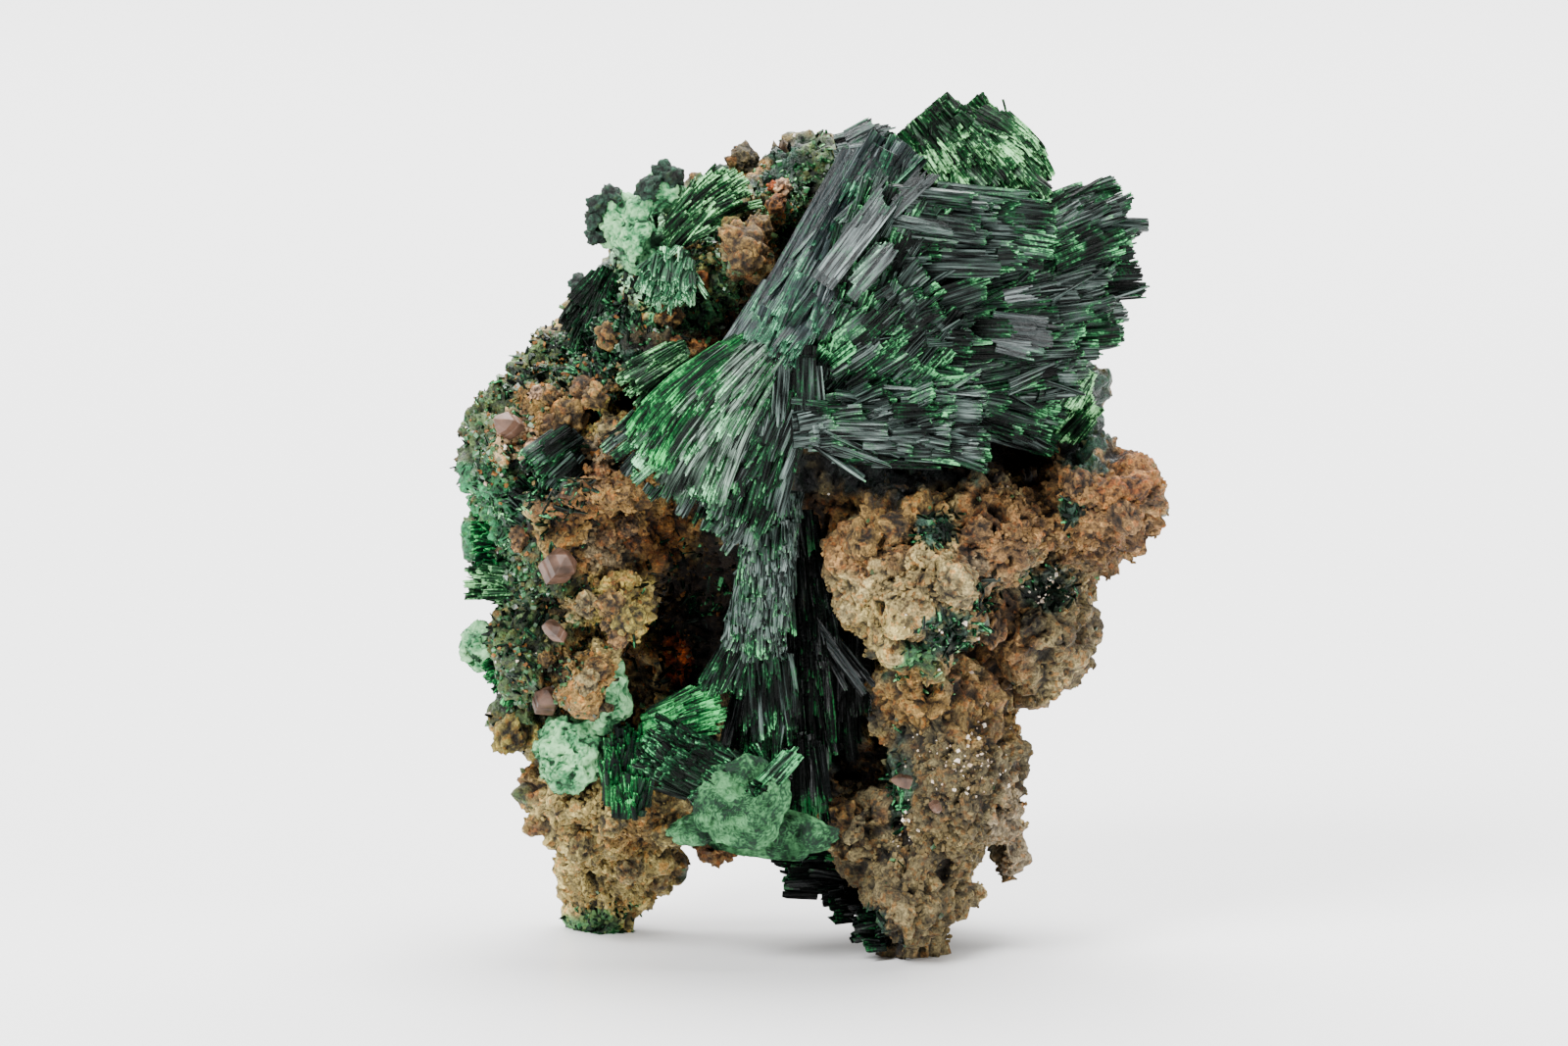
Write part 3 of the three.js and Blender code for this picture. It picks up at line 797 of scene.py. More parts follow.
@dataclass
class Matrix:
    """The limonite matrix: the solid's surface with knobs, crumbs, ledges and pits raised on it."""

    node: str = "matrix"
    voxel: float = 0.34
    rounds: int = 5
    parts: tuple[tuple[str, float, float], ...] = (
        ("matrix_left", -99.0, -12.0),
        ("matrix_middle", -12.0, 8.0),
        ("matrix_right", 8.0, 99.0),
    )
    tint: RockTint = field(default_factory=RockTint)
    finish: RockFinish = field(default_factory=RockFinish)

    LUMPS = (5.5, 3.0, 1.3)

    def relief(self, points: Array) -> tuple[Array, Array]:
        """Return the height of the relief at each point, and the knobs' own numbers.

        Lumps of the widths in LUMPS are a noise folded at its zero line, so that they are round
        with sharp valleys; knobs are domes on scattered points 1.9 mm apart; pits and holes lie
        where two other noises are at their highest. A slow noise makes some areas rough and
        others worn.

        Args:
            points: Places on the smoothed rock, one a row.

        Returns:
            Heights in millimetres, and a number from 0 to 1 that is the same all over a knob.
        """
        bend = np.stack([rough_noise(points, 2.4, 2, 201 + 40 * k) for k in range(3)], axis=-1)
        bent = points + 0.8 * bend
        wear = 0.55 + 0.45 * smooth_step(-0.35, 0.35, rough_noise(points, 9.0, 2, 211))
        lumps = sum(
            size * (np.abs(rough_noise(bent, size, 2, 221 + int(10 * size))) - 0.3) for size in self.LUMPS
        )
        knob, knob_next, knob_tag = cellular(bent, 1.9, 31)
        domes = (0.7 - knob) * (0.2 + 1.3 * knob_tag**2)
        gaps = smooth_step(0.14, 0.0, knob_next - knob)
        pits = smooth_step(0.3, 0.6, rough_noise(points, 2.2, 3, 51))
        holes = smooth_step(0.42, 0.7, rough_noise(points, 0.95, 2, 57))
        height = 0.4 * lumps + wear * (0.6 * domes - 0.22 * gaps + 0.3 * rough_noise(points, 0.9, 3, 61))
        return height - 1.3 * pits - 0.55 * holes - 0.1, knob_tag

    def build(self) -> "Ground":
        """Build the rock's pieces and return the places on it where grains can sit."""
        base = solid_surface(self.node, self.voxel).smoothed(self.rounds)
        bend = np.stack([rough_noise(base.points, 8.0, 3, 151 + 30 * k) for k in range(3)], axis=-1)
        base = Surface(base.points + 0.9 * bend, base.faces)
        normals = base.normals()
        height, knob_tag = self.relief(base.points)
        points = keep_in_box(base.points + normals * height[:, None])
        ground_level = base.points[:, 2] < 0.9
        points[ground_level, 2] = np.maximum(points[ground_level, 2] - 0.4, 0.0)
        rock = Surface(points, base.faces)
        turned = rock.normals()
        # Painted shade and light: relief is low where a point lies deep in a hollow and high on the high
        # spots; the rock's finish darkens and lightens by it.
        hollow = 1.5 * rock.depth(turned, 2) + 0.6 * rock.depth(turned, 26)
        relief = np.clip(0.5 - hollow, 0.0, 1.0)
        colour, gloss = self.tint.paint(base.points, normals, knob_tag)
        middle = points[base.faces].mean(axis=1)
        material = self.finish.material()
        for part, (name, low, high) in enumerate(self.parts):
            chosen = base.faces[(middle[:, 0] >= low) & (middle[:, 0] < high)]
            used, faces = np.unique(chosen, return_inverse=True)
            thing = make_object(
                name,
                points[used],
                faces.reshape(-1, 4),
                {"relief": relief[used], "gloss": gloss[used]},
                colour[used],
            )
            thing.data.materials.append(material)
            finish_piece(thing, "matrix", (self.node,) if part == 0 else ())
        return Ground(points, turned, colour, relief)


@dataclass
class Ground:
    """Places on the rock's surface, with the way they face, their colour and their relief, the value that
    paints shade into the hollows.
    """

    points: Array
    normals: Array
    colour: Array
    relief: Array

    def joined(self, other: Surface) -> "Ground":
        """Return these places and those of another surface together."""
        extra = len(other.points)
        return Ground(
            np.concatenate([self.points, other.points]),
            np.concatenate([self.normals, other.normals()]),
            np.concatenate([self.colour, np.tile(linear("5c9c70"), (extra, 1))]),
            np.concatenate([self.relief, np.full(extra, 0.5)]),
        )

    def front(self) -> tuple[Array, Array, Array]:
        """Return each place's right and up in the front view, and how much it faces the front."""
        seen = self.points + MIDDLE
        up = seen[:, 2] * math.cos(LOOK_DOWN) + seen[:, 1] * math.sin(LOOK_DOWN)
        facing = -self.normals[:, 1] * math.cos(LOOK_DOWN) + self.normals[:, 2] * math.sin(LOOK_DOWN)
        return seen[:, 0], up, facing


@dataclass(frozen=True)
class Spill:
    """Grains spilled over an area of the rock, as an ellipse in the front view."""

    right: float
    up: float
    half_right: float
    half_up: float
    count: int

    EDGE = 2.2

    def choose(
        self, ground: Ground, chance: np.random.Generator, fall: float, turned: float
    ) -> Array:
        """Return points of the rock for the grains, which thin out by the bell curve.

        Args:
            ground: The rock.
            chance: Source of the random draws.
            fall: Strength of the bell curve; its square distance is cut off at EDGE.
            turned: Lowest share to the front that a point's normal may have.

        Returns:
            The numbers of count points, some more than once.
        """
        right, up, facing = ground.front()
        near = ((right - self.right) / self.half_right) ** 2 + ((up - self.up) / self.half_up) ** 2
        weight = np.exp(-fall * near) * (near < self.EDGE) * (facing > turned)
        return chance.choice(len(weight), self.count, p=weight / weight.sum())


@dataclass
class Grains:
    """Many small many-cornered grains that sit on the rock."""

    name: str
    finish: "GrainFinish"
    everywhere: int
    size: Pair
    light: str
    dark: str
    own_colour: float
    seed: int
    spills: tuple[Spill, ...]

    def build(self, ground: Ground) -> bpy.types.Object:
        """Return the grains as one object.

        Each grain is a cube whose corners are pulled about, turned at random and partly sunk.
        """
        chance = np.random.default_rng(self.seed)
        chosen = self._places(ground, chance)
        count = len(chosen)
        size = self.size[0] + (self.size[1] - self.size[0]) * chance.random(count) ** 2
        corners = np.array(list(product((-0.5, 0.5), repeat=3)))
        shape = corners + chance.uniform(-0.22, 0.22, (count, 8, 3))
        shape *= (size[:, None] * chance.uniform(0.7, 1.3, (count, 3)))[:, None, :]
        axes = unit(chance.normal(size=(count, 3)))
        helper = unit(np.cross(axes, chance.normal(size=(count, 3))))
        turn = np.stack([axes, helper, np.cross(axes, helper)], axis=1)
        sunk = ground.points[chosen] + ground.normals[chosen] * (size * 0.22)[:, None]
        points = np.einsum("ncj,njk->nck", shape, turn) + sunk[:, None, :]
        sides = np.array(
            [[0, 1, 3, 2], [4, 6, 7, 5], [0, 4, 5, 1], [2, 3, 7, 6], [0, 2, 6, 4], [1, 5, 7, 3]]
        )
        faces = (sides[None] + 8 * np.arange(count)[:, None, None]).reshape(-1, 4)
        tone = chance.random(count)[:, None]
        own = linear(self.dark) + (linear(self.light) - linear(self.dark)) * tone
        local = ground.colour[chosen] * chance.uniform(0.75, 1.5, (count, 1))
        colour = own + (local - own) * self.own_colour
        thing = make_object(
            self.name,
            keep_in_box(points.reshape(-1, 3)),
            faces,
            {},
            np.repeat(colour, 8, axis=0),
            soft=False,
        )
        thing.data.materials.append(self.finish.material())
        finish_piece(thing, "matrix", ())
        return thing

    def _places(self, ground: Ground, chance: np.random.Generator) -> Array:
        """Return the numbers of the rock's points that get a grain.

        Args:
            ground: The rock.
            chance: Source of the random draws.

        Returns:
            Point numbers, those scattered everywhere first.
        """
        scattered = chance.integers(0, len(ground.points), self.everywhere)
        spilled = [spill.choose(ground, chance, 1.6, -0.1) for spill in self.spills]
        return np.concatenate([scattered, *spilled])


@dataclass(frozen=True)
class GrainFinish:
    """Grains in their own tint, duller or glassier."""

    name: str
    roughness: float
    gloss: float = 0.5

    def material(self) -> bpy.types.Material:
        """Return the material."""
        sheet = ShaderSheet(self.name)
        tint = sheet.add("ShaderNodeAttribute", attribute_name="tint").outputs["Color"]
        sheet.link(tint, sheet.shader.inputs["Base Color"])
        sheet.shader.inputs["Roughness"].default_value = self.roughness
        sheet.shader.inputs["Specular IOR Level"].default_value = self.gloss
        return sheet.material


@dataclass(frozen=True)
class BladeFinish:
    """Silky, striated crystal: dark on its faces and green where it is thin or broken, with painted sheen
    in grey along the stripes and painted shade in the furrows between them.
    """

    name: str
    dark: str
    # grey is the colour of the painted sheen.
    grey: str
    green: str
    bright: str
    roughness: Pair = (0.2, 0.45)
    gloss: Pair = (0.08, 0.8)
    stripe_scale: float = 4.2
    stripe_stretch: float = 0.05

    def material(self) -> bpy.types.Material:
        """Return the material.

        The stripes are a noise on the UV map, stretched along the blades. The shares of dark,
        grey and green come from each lath's own numbers and from the stripes. The grey is painted
        sheen, and the furrows between the stripes get painted shade.
        """
        sheet = ShaderSheet(self.name)
        chart = sheet.add("ShaderNodeUVMap", uv_map="UVMap").outputs["UV"]
        stretch = sheet.add("ShaderNodeMapping")
        stretch.inputs["Scale"].default_value = (1.0, self.stripe_stretch, 1.0)
        sheet.link(chart, stretch.inputs["Vector"])
        lines = stretch.outputs["Vector"]
        stripes = sheet.texture("ShaderNodeTexNoise", lines, self.stripe_scale, detail=5.0).outputs["Fac"]
        blotches = sheet.texture("ShaderNodeTexNoise", chart, 0.6, detail=4.0).outputs["Fac"]
        grain = sheet.texture("ShaderNodeTexNoise", chart, 3.4, detail=4.0).outputs["Fac"]
        tone = sheet.number("tone")
        # Painted sheen: where the stripes are bright and the lath's tone is high, the dark base turns to
        # the grey sheen colour.
        painted_sheen = sheet.math("MULTIPLY", sheet.remap(stripes, (0.4, 0.0), (0.66, 1.0)), tone)
        base = sheet.mix(painted_sheen, linear(self.dark), linear(self.grey))
        place_now = sheet.add("ShaderNodeTexCoord").outputs["Object"]
        broad = sheet.texture("ShaderNodeTexNoise", place_now, 260.0, detail=5.0).outputs["Fac"]
        patchy = sheet.math("ADD", sheet.number("green"), sheet.remap(blotches, (0.3, -0.3), (0.7, 0.3)))
        patchy = sheet.math("ADD", patchy, sheet.remap(broad, (0.34, -0.4), (0.66, 0.4)))
        patchy = sheet.math("ADD", patchy, sheet.remap(stripes, (0.3, -0.5), (0.7, 0.5)))
        patchy = sheet.math("ADD", patchy, sheet.remap(grain, (0.3, -0.4), (0.7, 0.4)))
        patchy = sheet.math("ADD", patchy, sheet.remap(sheet.number("tip"), (0.0, 0.0), (1.0, 0.5)))
        base = sheet.mix(sheet.remap(patchy, (0.2, 0.0), (0.7, 0.85)), base, linear(self.green))
        base = sheet.mix(sheet.remap(patchy, (0.75, 0.0), (1.2, 1.0)), base, linear(self.bright))
        # Painted shade in the furrows between the stripes, and painted light on their ridges, up to 1.2
        # times.
        painted_furrow_shade = sheet.remap(stripes, (0.36, 0.2), (0.56, 1.2))
        grey = sheet.add("ShaderNodeCombineColor")
        for channel in range(3):
            sheet.link(painted_furrow_shade, grey.inputs[channel])
        sheet.link(sheet.mix(1.0, base, grey.outputs[0], "MULTIPLY"), sheet.shader.inputs["Base Color"])
        rough = sheet.remap(stripes, (0.3, self.roughness[0]), (0.7, self.roughness[1]))
        sheet.link(rough, sheet.shader.inputs["Roughness"])
        shine = sheet.remap(painted_sheen, (0.12, self.gloss[0]), (0.7, self.gloss[1]))
        sheet.link(shine, sheet.shader.inputs["Specular IOR Level"])
        ridges = sheet.bump(stripes, 0.9, 0.00022)
        sheet.link(sheet.bump(grain, 0.5, 0.00016, ridges), sheet.shader.inputs["Normal"])
        return sheet.material


# In each finish, grey is the painted sheen colour that laths with a high tone take along their stripes.
DARK_BLADES = BladeFinish("green-black blades", "010402", "566a64", "0d3c20", "54a468", (0.2, 0.45))
SLATE_BLADES = BladeFinish("slate blades", "10181a", "526262", "1a5034", "62a880", (0.28, 0.45), (0.2, 0.8))
FAN_BLADES = BladeFinish("silky green fan", "010a05", "96b2a0", "0c5024", "88d09a", (0.2, 0.42), (0.1, 0.8))
# Painted highlight: a lighter copy of the blade finish, with a paler dark and more sheen, for blades that
# catch the light.
PAINTED_GLINT_BLADES = BladeFinish(
    "silver-grey blades", "141c1c", "6e7c7a", "1e5236", "88b898", (0.2, 0.4), (0.4, 0.9)
)
GREEN_BLADES = BladeFinish(
    "green blades", "010803", "32503a", "0c421e", "84c484", (0.28, 0.55), (0.08, 0.5)
)
EMERALD_BLADES = BladeFinish(
    "emerald blades", "01100a", "1e4a2e", "0c5426", "48b464", (0.28, 0.5), (0.1, 0.5)
)
DEEP_BLADES = BladeFinish(
    "deep green blades", "010502", "16301f", "07301a", "4a9c62", (0.25, 0.5), (0.08, 0.5)
)
PALE_BLADES = BladeFinish(
    "pale green blades", "0a2818", "50745a", "20603a", "8cc494", (0.4, 0.65), (0.2, 0.5)
)
BLACK_BLADES = BladeFinish(
    "black crystals", "010201", "12181a", "030e08", "145028", (0.14, 0.35), (0.05, 0.7)
)


BAR_CORNERS = np.array([(-1.0, -1.0), (1.0, -1.0), (1.0, 1.0), (-1.0, 1.0)])


@dataclass
class LathSet:
    """Arrays for many thin laths that lie in blades of equal numbers of laths.

    middle holds the places of each lath's stations, side and face the way its section lies,
    along its direction, offset its place across its blade, run its stations' places along the
    layer, to_end how far each station is from the lath's end, and blade its blade's number.
    """

    middle: Array
    side: Array
    face: Array
    along: Array
    half_wide: Array
    half_thick: Array
    offset: Array
    run: Array
    to_end: Array
    blade: Array
    tone: Array
    green: Array

    def mesh(self, chance: np.random.Generator) -> tuple[Array, Array, dict[str, Array], Array]:
        """Return the laths' points, faces, numbers and chart.

        A lath is a flat four-cornered section carried along its stations. It narrows at its
        last one, which is cut off aslant.
        """
        total, stations = self.middle.shape[:2]
        size = 4 * stations
        narrow = np.ones(stations)
        narrow[0], narrow[-2], narrow[-1] = 0.9, 0.95, 0.7
        thin = np.ones(stations)
        thin[0], thin[-2], thin[-1] = 0.8, 0.85, 0.5
        x = BAR_CORNERS[None, None, :, 0] * self.half_wide[:, None, None] * narrow[None, :, None]
        z = BAR_CORNERS[None, None, :, 1] * self.half_thick[:, None, None] * thin[None, :, None]
        is_last = np.arange(stations) == stations - 1
        aslant = chance.normal(0.0, 0.5, total)[:, None, None] * is_last[None, :, None]
        points = (
            self.middle[:, :, None, :]
            + x[..., None] * self.side[:, None, None, :]
            + z[..., None] * self.face[:, None, None, :]
            + (aslant * x)[..., None] * self.along[:, None, None, :]
        )
        faces = bar_faces(stations, total)
        numbers = {
            "tone": np.repeat(np.clip(self.tone, 0.0, 1.0), size),
            "green": np.repeat(self.green, size),
            "tip": np.repeat(np.exp(-self.to_end / 0.4), 4, axis=1).ravel(),
        }
        shift = (self.blade * 7.31 % 60.0)[:, None, None]
        across = x + z + self.offset[:, None, None] + shift
        chart = np.stack([across, self.run[:, :, None] + shift + 0.0 * x], axis=-1)
        return points.reshape(-1, 3), faces, numbers, chart.reshape(-1, 2)


def uneven(chance: np.random.Generator, blades: int, laths: int, middle: float, spread: float) -> Array:
    """Return a number for each lath, partly shared by its blade and partly its own.

    Args:
        chance: Source of the random draws.
        blades: Number of blades.
        laths: Number of laths in a blade.
        middle: Value that the numbers lie around.
        spread: Standard deviation of the shared part; a lath's own part has 0.6 of it.

    Returns:
        The numbers, blade by blade.
    """
    shared = spread * chance.normal(0.0, 1.0, (blades, 1))
    own = 0.6 * spread * chance.normal(0.0, 1.0, (blades, laths))
    return (middle + shared + own).ravel()


@dataclass(frozen=True)
class Plate:
    """One layer of blades between a root and a tip in the front view.

    wide is the layer's width at both ends and thick its depth. Each blade covers a share of the
    layer's length between the two in reach, and is made of laths side by side. splay, lift and
    roll are degrees, bow and swerve how far the middle bends outwards and sideways, and ragged
    how far, in millimetres, one lath's end can stand back from the next.
    """

    root: Triple
    tip: Triple
    wide: Pair
    thick: float
    blades: int
    reach: Pair = (0.3, 0.8)
    blade_wide: float = 1.4
    laths: int = 7
    green: float = 0.1
    tone: float = 0.5
    splay: float = 2.5
    lift: float = 2.5
    roll: float = 7.0
    bow: float = 0.0
    swerve: float = 0.0
    ragged: float = 0.5
    rounding: float = 0.14
    crease: float = 10.0
    facing: Triple = (0.0, -1.0, 0.12)

    STRAIGHT = 0.3

    def guide(self, points: Array) -> tuple[Array, Array]:
        """Return the way the layer's blades run at each point, and how near the layer is.

        Args:
            points: Places, one a row.

        Returns:
            Unit vectors, and the bell curve of the distance from the layer, from 0 to 1.
        """
        root, tip = place(*self.root), place(*self.tip)
        length = float(np.linalg.norm(tip - root))
        along = (tip - root) / length
        side = unit(np.cross(np.array(self.facing), along))
        share = np.clip((points - root) @ along / length, 0.0, 1.0)
        away = points - (root + (share * length)[:, None] * along)
        half = 0.5 * (self.wide[0] + (self.wide[1] - self.wide[0]) * share)
        across = away @ side
        lane = np.clip(across / half, -1.0, 1.0)[:, None]
        way = unit((tip + side * lane * self.wide[1] / 2.0) - (root + side * lane * self.wide[0] / 2.0))
        beside = np.maximum(np.abs(across) - half, 0.0)
        other = away - across[:, None] * side
        distance = np.sqrt(beside**2 + 0.2 * np.sum(other**2, axis=1))
        return way, np.exp(-0.5 * (distance / 1.1) ** 2) + 1e-6

    def room(self, points: Array) -> Array:
        """Return how far each point is, along the layer, from its root and from its tip.

        Args:
            points: Places, one a row.

        Returns:
            A row for the root and a row for the tip, without numbers below zero.
        """
        root, tip = place(*self.root), place(*self.tip)
        length = float(np.linalg.norm(tip - root))
        run = (points - root) @ (tip - root) / length
        return np.maximum(np.stack([run, length - run]), 0.0)

    def mesh(self, chance: np.random.Generator) -> tuple[Array, Array, dict[str, Array], Array]:
        """Return the layer's points, faces, numbers and chart.

        A lath is a flat four-cornered section carried along a line. The line runs from its share
        of the root's width to its share of the tip's, plus the bow and the swerve as parabolas,
        and is followed at one place more where they come to over STRAIGHT millimetres.
        A blade that ends early lies on top, as shingles do, with its tip lifted.
        """
        root, tip = place(*self.root), place(*self.tip)
        along = unit(tip - root)
        length = float(np.linalg.norm(tip - root))
        side = unit(np.cross(np.array(self.facing), along))
        face = unit(np.cross(along, side))
        n, m = self.blades, self.laths
        bent = (abs(self.bow) + abs(self.swerve)) * self.reach[1] ** 2 > self.STRAIGHT
        share = np.array([0.0, 0.45, 0.85, 1.0] if bent else [0.0, 0.85, 1.0])
        across = (np.arange(n) + chance.random(n)) / n - 0.5
        chance.shuffle(across)
        cover = self.reach[0] + (self.reach[1] - self.reach[0]) * chance.random(n)
        rounded = self.rounding * (2.0 * np.abs(across)) ** 2
        cover = cover * (1.0 - rounded)
        begin = rounded + np.maximum(1.0 - cover - 2.0 * rounded, 0.0) * chance.random(n)
        wide = self.blade_wide * chance.uniform(0.5, 1.5, n)
        lane = (np.arange(m) + 0.5) / m - 0.5
        walk = np.cumsum(chance.normal(0.0, self.ragged, (n, m)) * (chance.random((n, m)) < 0.45), axis=1)
        walk = (walk - walk.max(axis=1, keepdims=True)) + chance.normal(0.0, 0.06, (n, m))
        span = np.maximum(cover[:, None] + walk / length, 0.25 * cover[:, None])
        at = begin[:, None, None] + span[..., None] * share
        hump = 4.0 * at * (1.0 - at)
        spread = self.wide[0] + (self.wide[1] - self.wide[0]) * at
        run = at * length
        from_start = span[..., None] * share * length
        tilts = np.radians(chance.normal(0.0, 1.0, (n, 2)) * np.array([self.splay, self.lift]))
        roll = np.radians(chance.normal(0.0, self.roll, n))
        out = self.thick * (0.45 - np.clip(begin + cover, 0.0, 1.0) + 0.5 * chance.random(n))
        drift = from_start * np.tan(tilts[:, :1, None])
        sideways = across[:, None, None] * spread + self.swerve * hump + drift
        offset = lane[None, :] * wide[:, None]
        uneven_dome = chance.normal(0.0, 0.006 * self.crease, (n, m))
        dome = -0.12 * wide[:, None] * (2.0 * lane[None, :]) ** 2 + uneven_dome
        raised = from_start * np.tan(np.abs(tilts[:, 1:, None]) + 0.02) - 0.1
        outwards = out[:, None, None] + self.bow * hump + raised
        sideways = sideways + (offset * np.cos(roll)[:, None])[..., None]
        outwards = outwards + (offset * np.sin(roll)[:, None] + dome)[..., None]
        middle = root + run[..., None] * along + sideways[..., None] * side + outwards[..., None] * face
        total = n * m
        turn = roll[:, None] + np.radians(chance.normal(0.0, self.crease, (n, m)) - 14.0 * lane[None, :])
        turn = turn.reshape(total, 1)
        edge = 0.3 * np.repeat(np.abs(2.0 * lane[None, :]) ** 3, n, axis=0).ravel()
        laths = LathSet(
            middle.reshape(total, len(share), 3),
            side * np.cos(turn) + face * np.sin(turn),
            face * np.cos(turn) - side * np.sin(turn),
            np.tile(along, (total, 1)),
            np.repeat(wide / m * 0.56, m) * chance.uniform(0.9, 1.15, total),
            np.repeat(0.13 + 0.09 * self.blade_wide * chance.random(n), m),
            offset.ravel(),
            run.reshape(total, len(share)),
            (span[..., None] * (1.0 - share) * length).reshape(total, len(share)),
            np.repeat(np.arange(n), m) + chance.random(total) * 0.02,
            uneven(chance, n, m, self.tone - 0.15, 0.27),
            uneven(chance, n, m, self.green, 0.13) + edge,
        )
        return laths.mesh(chance)


@dataclass
class Spray:
    """Plates of blades grown together, as one piece; node names the CAD node it stands for."""

    name: str
    node: str
    finish: BladeFinish
    slot: str
    seed: int
    plates: tuple[Plate, ...]

    def build(self) -> bpy.types.Object:
        """Return the spray's object."""
        chance = np.random.default_rng(self.seed)
        parts = [plate.mesh(chance) for plate in self.plates]
        counts = np.cumsum([0] + [len(part[0]) for part in parts[:-1]])
        points = np.concatenate([part[0] for part in parts])
        faces = np.concatenate([part[1] + first for part, first in zip(parts, counts)])
        numbers = {key: np.concatenate([part[2][key] for part in parts]) for key in parts[0][2]}
        chart = np.concatenate([part[3] for part in parts])
        thing = make_object(self.name, keep_in_box(points), faces, numbers, chart=chart, soft=False)
        thing.data.materials.append(self.finish.material())
        finish_piece(thing, self.slot, (self.node,) if self.node else ())
        return thing


@dataclass
class Thatch:
    """Short blades that cover a solid as shingles do and run the way its layers run."""

    name: str
    node: str
    guides: tuple[Plate, ...]
    blades: int
    long: Pair
    blade_wide: float
    laths: int
    finish: BladeFinish
    slot: str
    seed: int
    green: float = 0.1
    tone: float = 0.5
    lift: float = 7.0
    sway: float = 6.0
    ragged: float = 0.35
    spacing: float = 0.5
    crease: float = 10.0

    OVERHANG = 0.5
    NEARLY_LAID = 0.85

    def build(self) -> bpy.types.Object:
        """Return the cover's object.

        Blades stand on random points of the solid. Their way is the mean of the layers' ways by
        nearness. It is laid into the surface where the cosine of the turn is over NEARLY_LAID,
        about 30 degrees. Each starts sunk and ends lifted by a few degrees. A blade near its
        layer's tip is moved back, so that it ends at most OVERHANG beyond it, and one near its
        root is moved forward in the same way.
        """
        chance = np.random.default_rng(self.seed)
        base = solid_surface(self.node, self.spacing).smoothed(4)
        normals = base.normals()
        nearest = np.max([guide.guide(base.points)[1] for guide in self.guides], axis=0)
        weight = (1.0 + 1.6 * (normals[:, 1] < 0.2)) * smooth_step(0.1, 0.5, nearest)
        chosen = chance.choice(len(base.points), self.blades, p=weight / weight.sum())
        spots, out = base.points[chosen], normals[chosen]
        ways, nearness = zip(*(guide.guide(spots) for guide in self.guides))
        way = unit(np.sum(np.stack(ways) * np.stack(nearness)[..., None], axis=0))
        rooms = np.stack([guide.room(spots) for guide in self.guides])
        behind, ahead = rooms[np.argmax(np.stack(nearness), axis=0), :, np.arange(len(spots))].T
        leaning = np.sum(out * way, axis=1)[:, None]
        out = unit(out + 0.25 * chance.normal(size=out.shape) - 0.75 * way * leaning)
        laid = unit(way - out * np.sum(way * out, axis=1)[:, None])
        way = np.where(np.sum(laid * way, axis=1)[:, None] > self.NEARLY_LAID, laid, way)
        out = unit(out - way * np.sum(way * out, axis=1)[:, None])
        side = np.cross(way, out)
        sway = np.radians(chance.normal(0.0, self.sway, self.blades))[:, None]
        way = unit(way * np.cos(sway) + side * np.sin(sway))
        side = np.cross(way, out)
        n, m = self.blades, self.laths
        share = np.array([0.0, 0.85, 1.0])
        length = chance.uniform(*self.long, n)
        wide = self.blade_wide * chance.uniform(0.35, 1.6, n)
        lane = (np.arange(m) + 0.5) / m - 0.5
        walk = np.cumsum(chance.normal(0.0, self.ragged, (n, m)) * (chance.random((n, m)) < 0.35), axis=1)
        walk = walk - walk.max(axis=1, keepdims=True) + chance.normal(0.0, 0.05, (n, m))
        reach = np.maximum(length[:, None] + walk, 0.3 * length[:, None])
        from_start = reach[..., None] * share
        moved_back = np.maximum(length - ahead - self.OVERHANG, 0.5 * length)
        start = -np.minimum(moved_back, behind + self.OVERHANG)
        offset = lane[None, :] * wide[:, None]
        lifted = np.tan(np.radians(np.abs(chance.normal(self.lift, 0.5 * self.lift, n))))
        dome = -0.12 * wide[:, None] * (2.0 * lane[None, :]) ** 2 + chance.normal(0.0, 0.05, (n, m))
        height = dome[..., None] + lifted[:, None, None] * (from_start - 0.5 * length[:, None, None]) - 0.12
        middle = (
            spots[:, None, None, :]
            + (from_start + start[:, None, None])[..., None] * way[:, None, None, :]
            + offset[..., None, None] * side[:, None, None, :]
            + height[..., None] * out[:, None, None, :]
        )
        total = n * m
        turn = np.radians(chance.normal(0.0, self.crease, (n, m)) - 14.0 * lane[None, :])[..., None]
        lath_side = side[:, None] * np.cos(turn) + out[:, None] * np.sin(turn)
        lath_face = out[:, None] * np.cos(turn) - side[:, None] * np.sin(turn)
        laths = LathSet(
            middle.reshape(total, len(share), 3),
            lath_side.reshape(total, 3),
            lath_face.reshape(total, 3),
            np.repeat(way, m, axis=0),
            np.repeat(wide / m * 0.56, m) * chance.uniform(0.9, 1.15, total),
            np.repeat(0.1 + 0.12 * chance.random(n), m),
            offset.ravel(),
            from_start.reshape(total, len(share)),
            (reach[..., None] * (1.0 - share)).reshape(total, len(share)),
            np.repeat(np.arange(n), m) + chance.random(total) * 0.02,
            uneven(chance, n, m, self.tone - 0.15, 0.27),
            uneven(chance, n, m, self.green, 0.13),
        )
        points, faces, numbers, chart = laths.mesh(chance)
        thing = make_object(self.name, keep_in_box(points), faces, numbers, chart=chart, soft=False)
        thing.data.materials.append(self.finish.material())
        finish_piece(thing, self.slot, ())
        return thing


def layer(
    root: Triple,
    tip: Triple,
    wide: Pair,
    thick: float,
    blades: int,
    reach: Pair = (0.3, 0.8),
    **rest: float,
) -> Plate:
    """Return a layer of blades; the names in rest are those of Plate."""
    return Plate(root, tip, wide, thick, blades, reach, **rest)


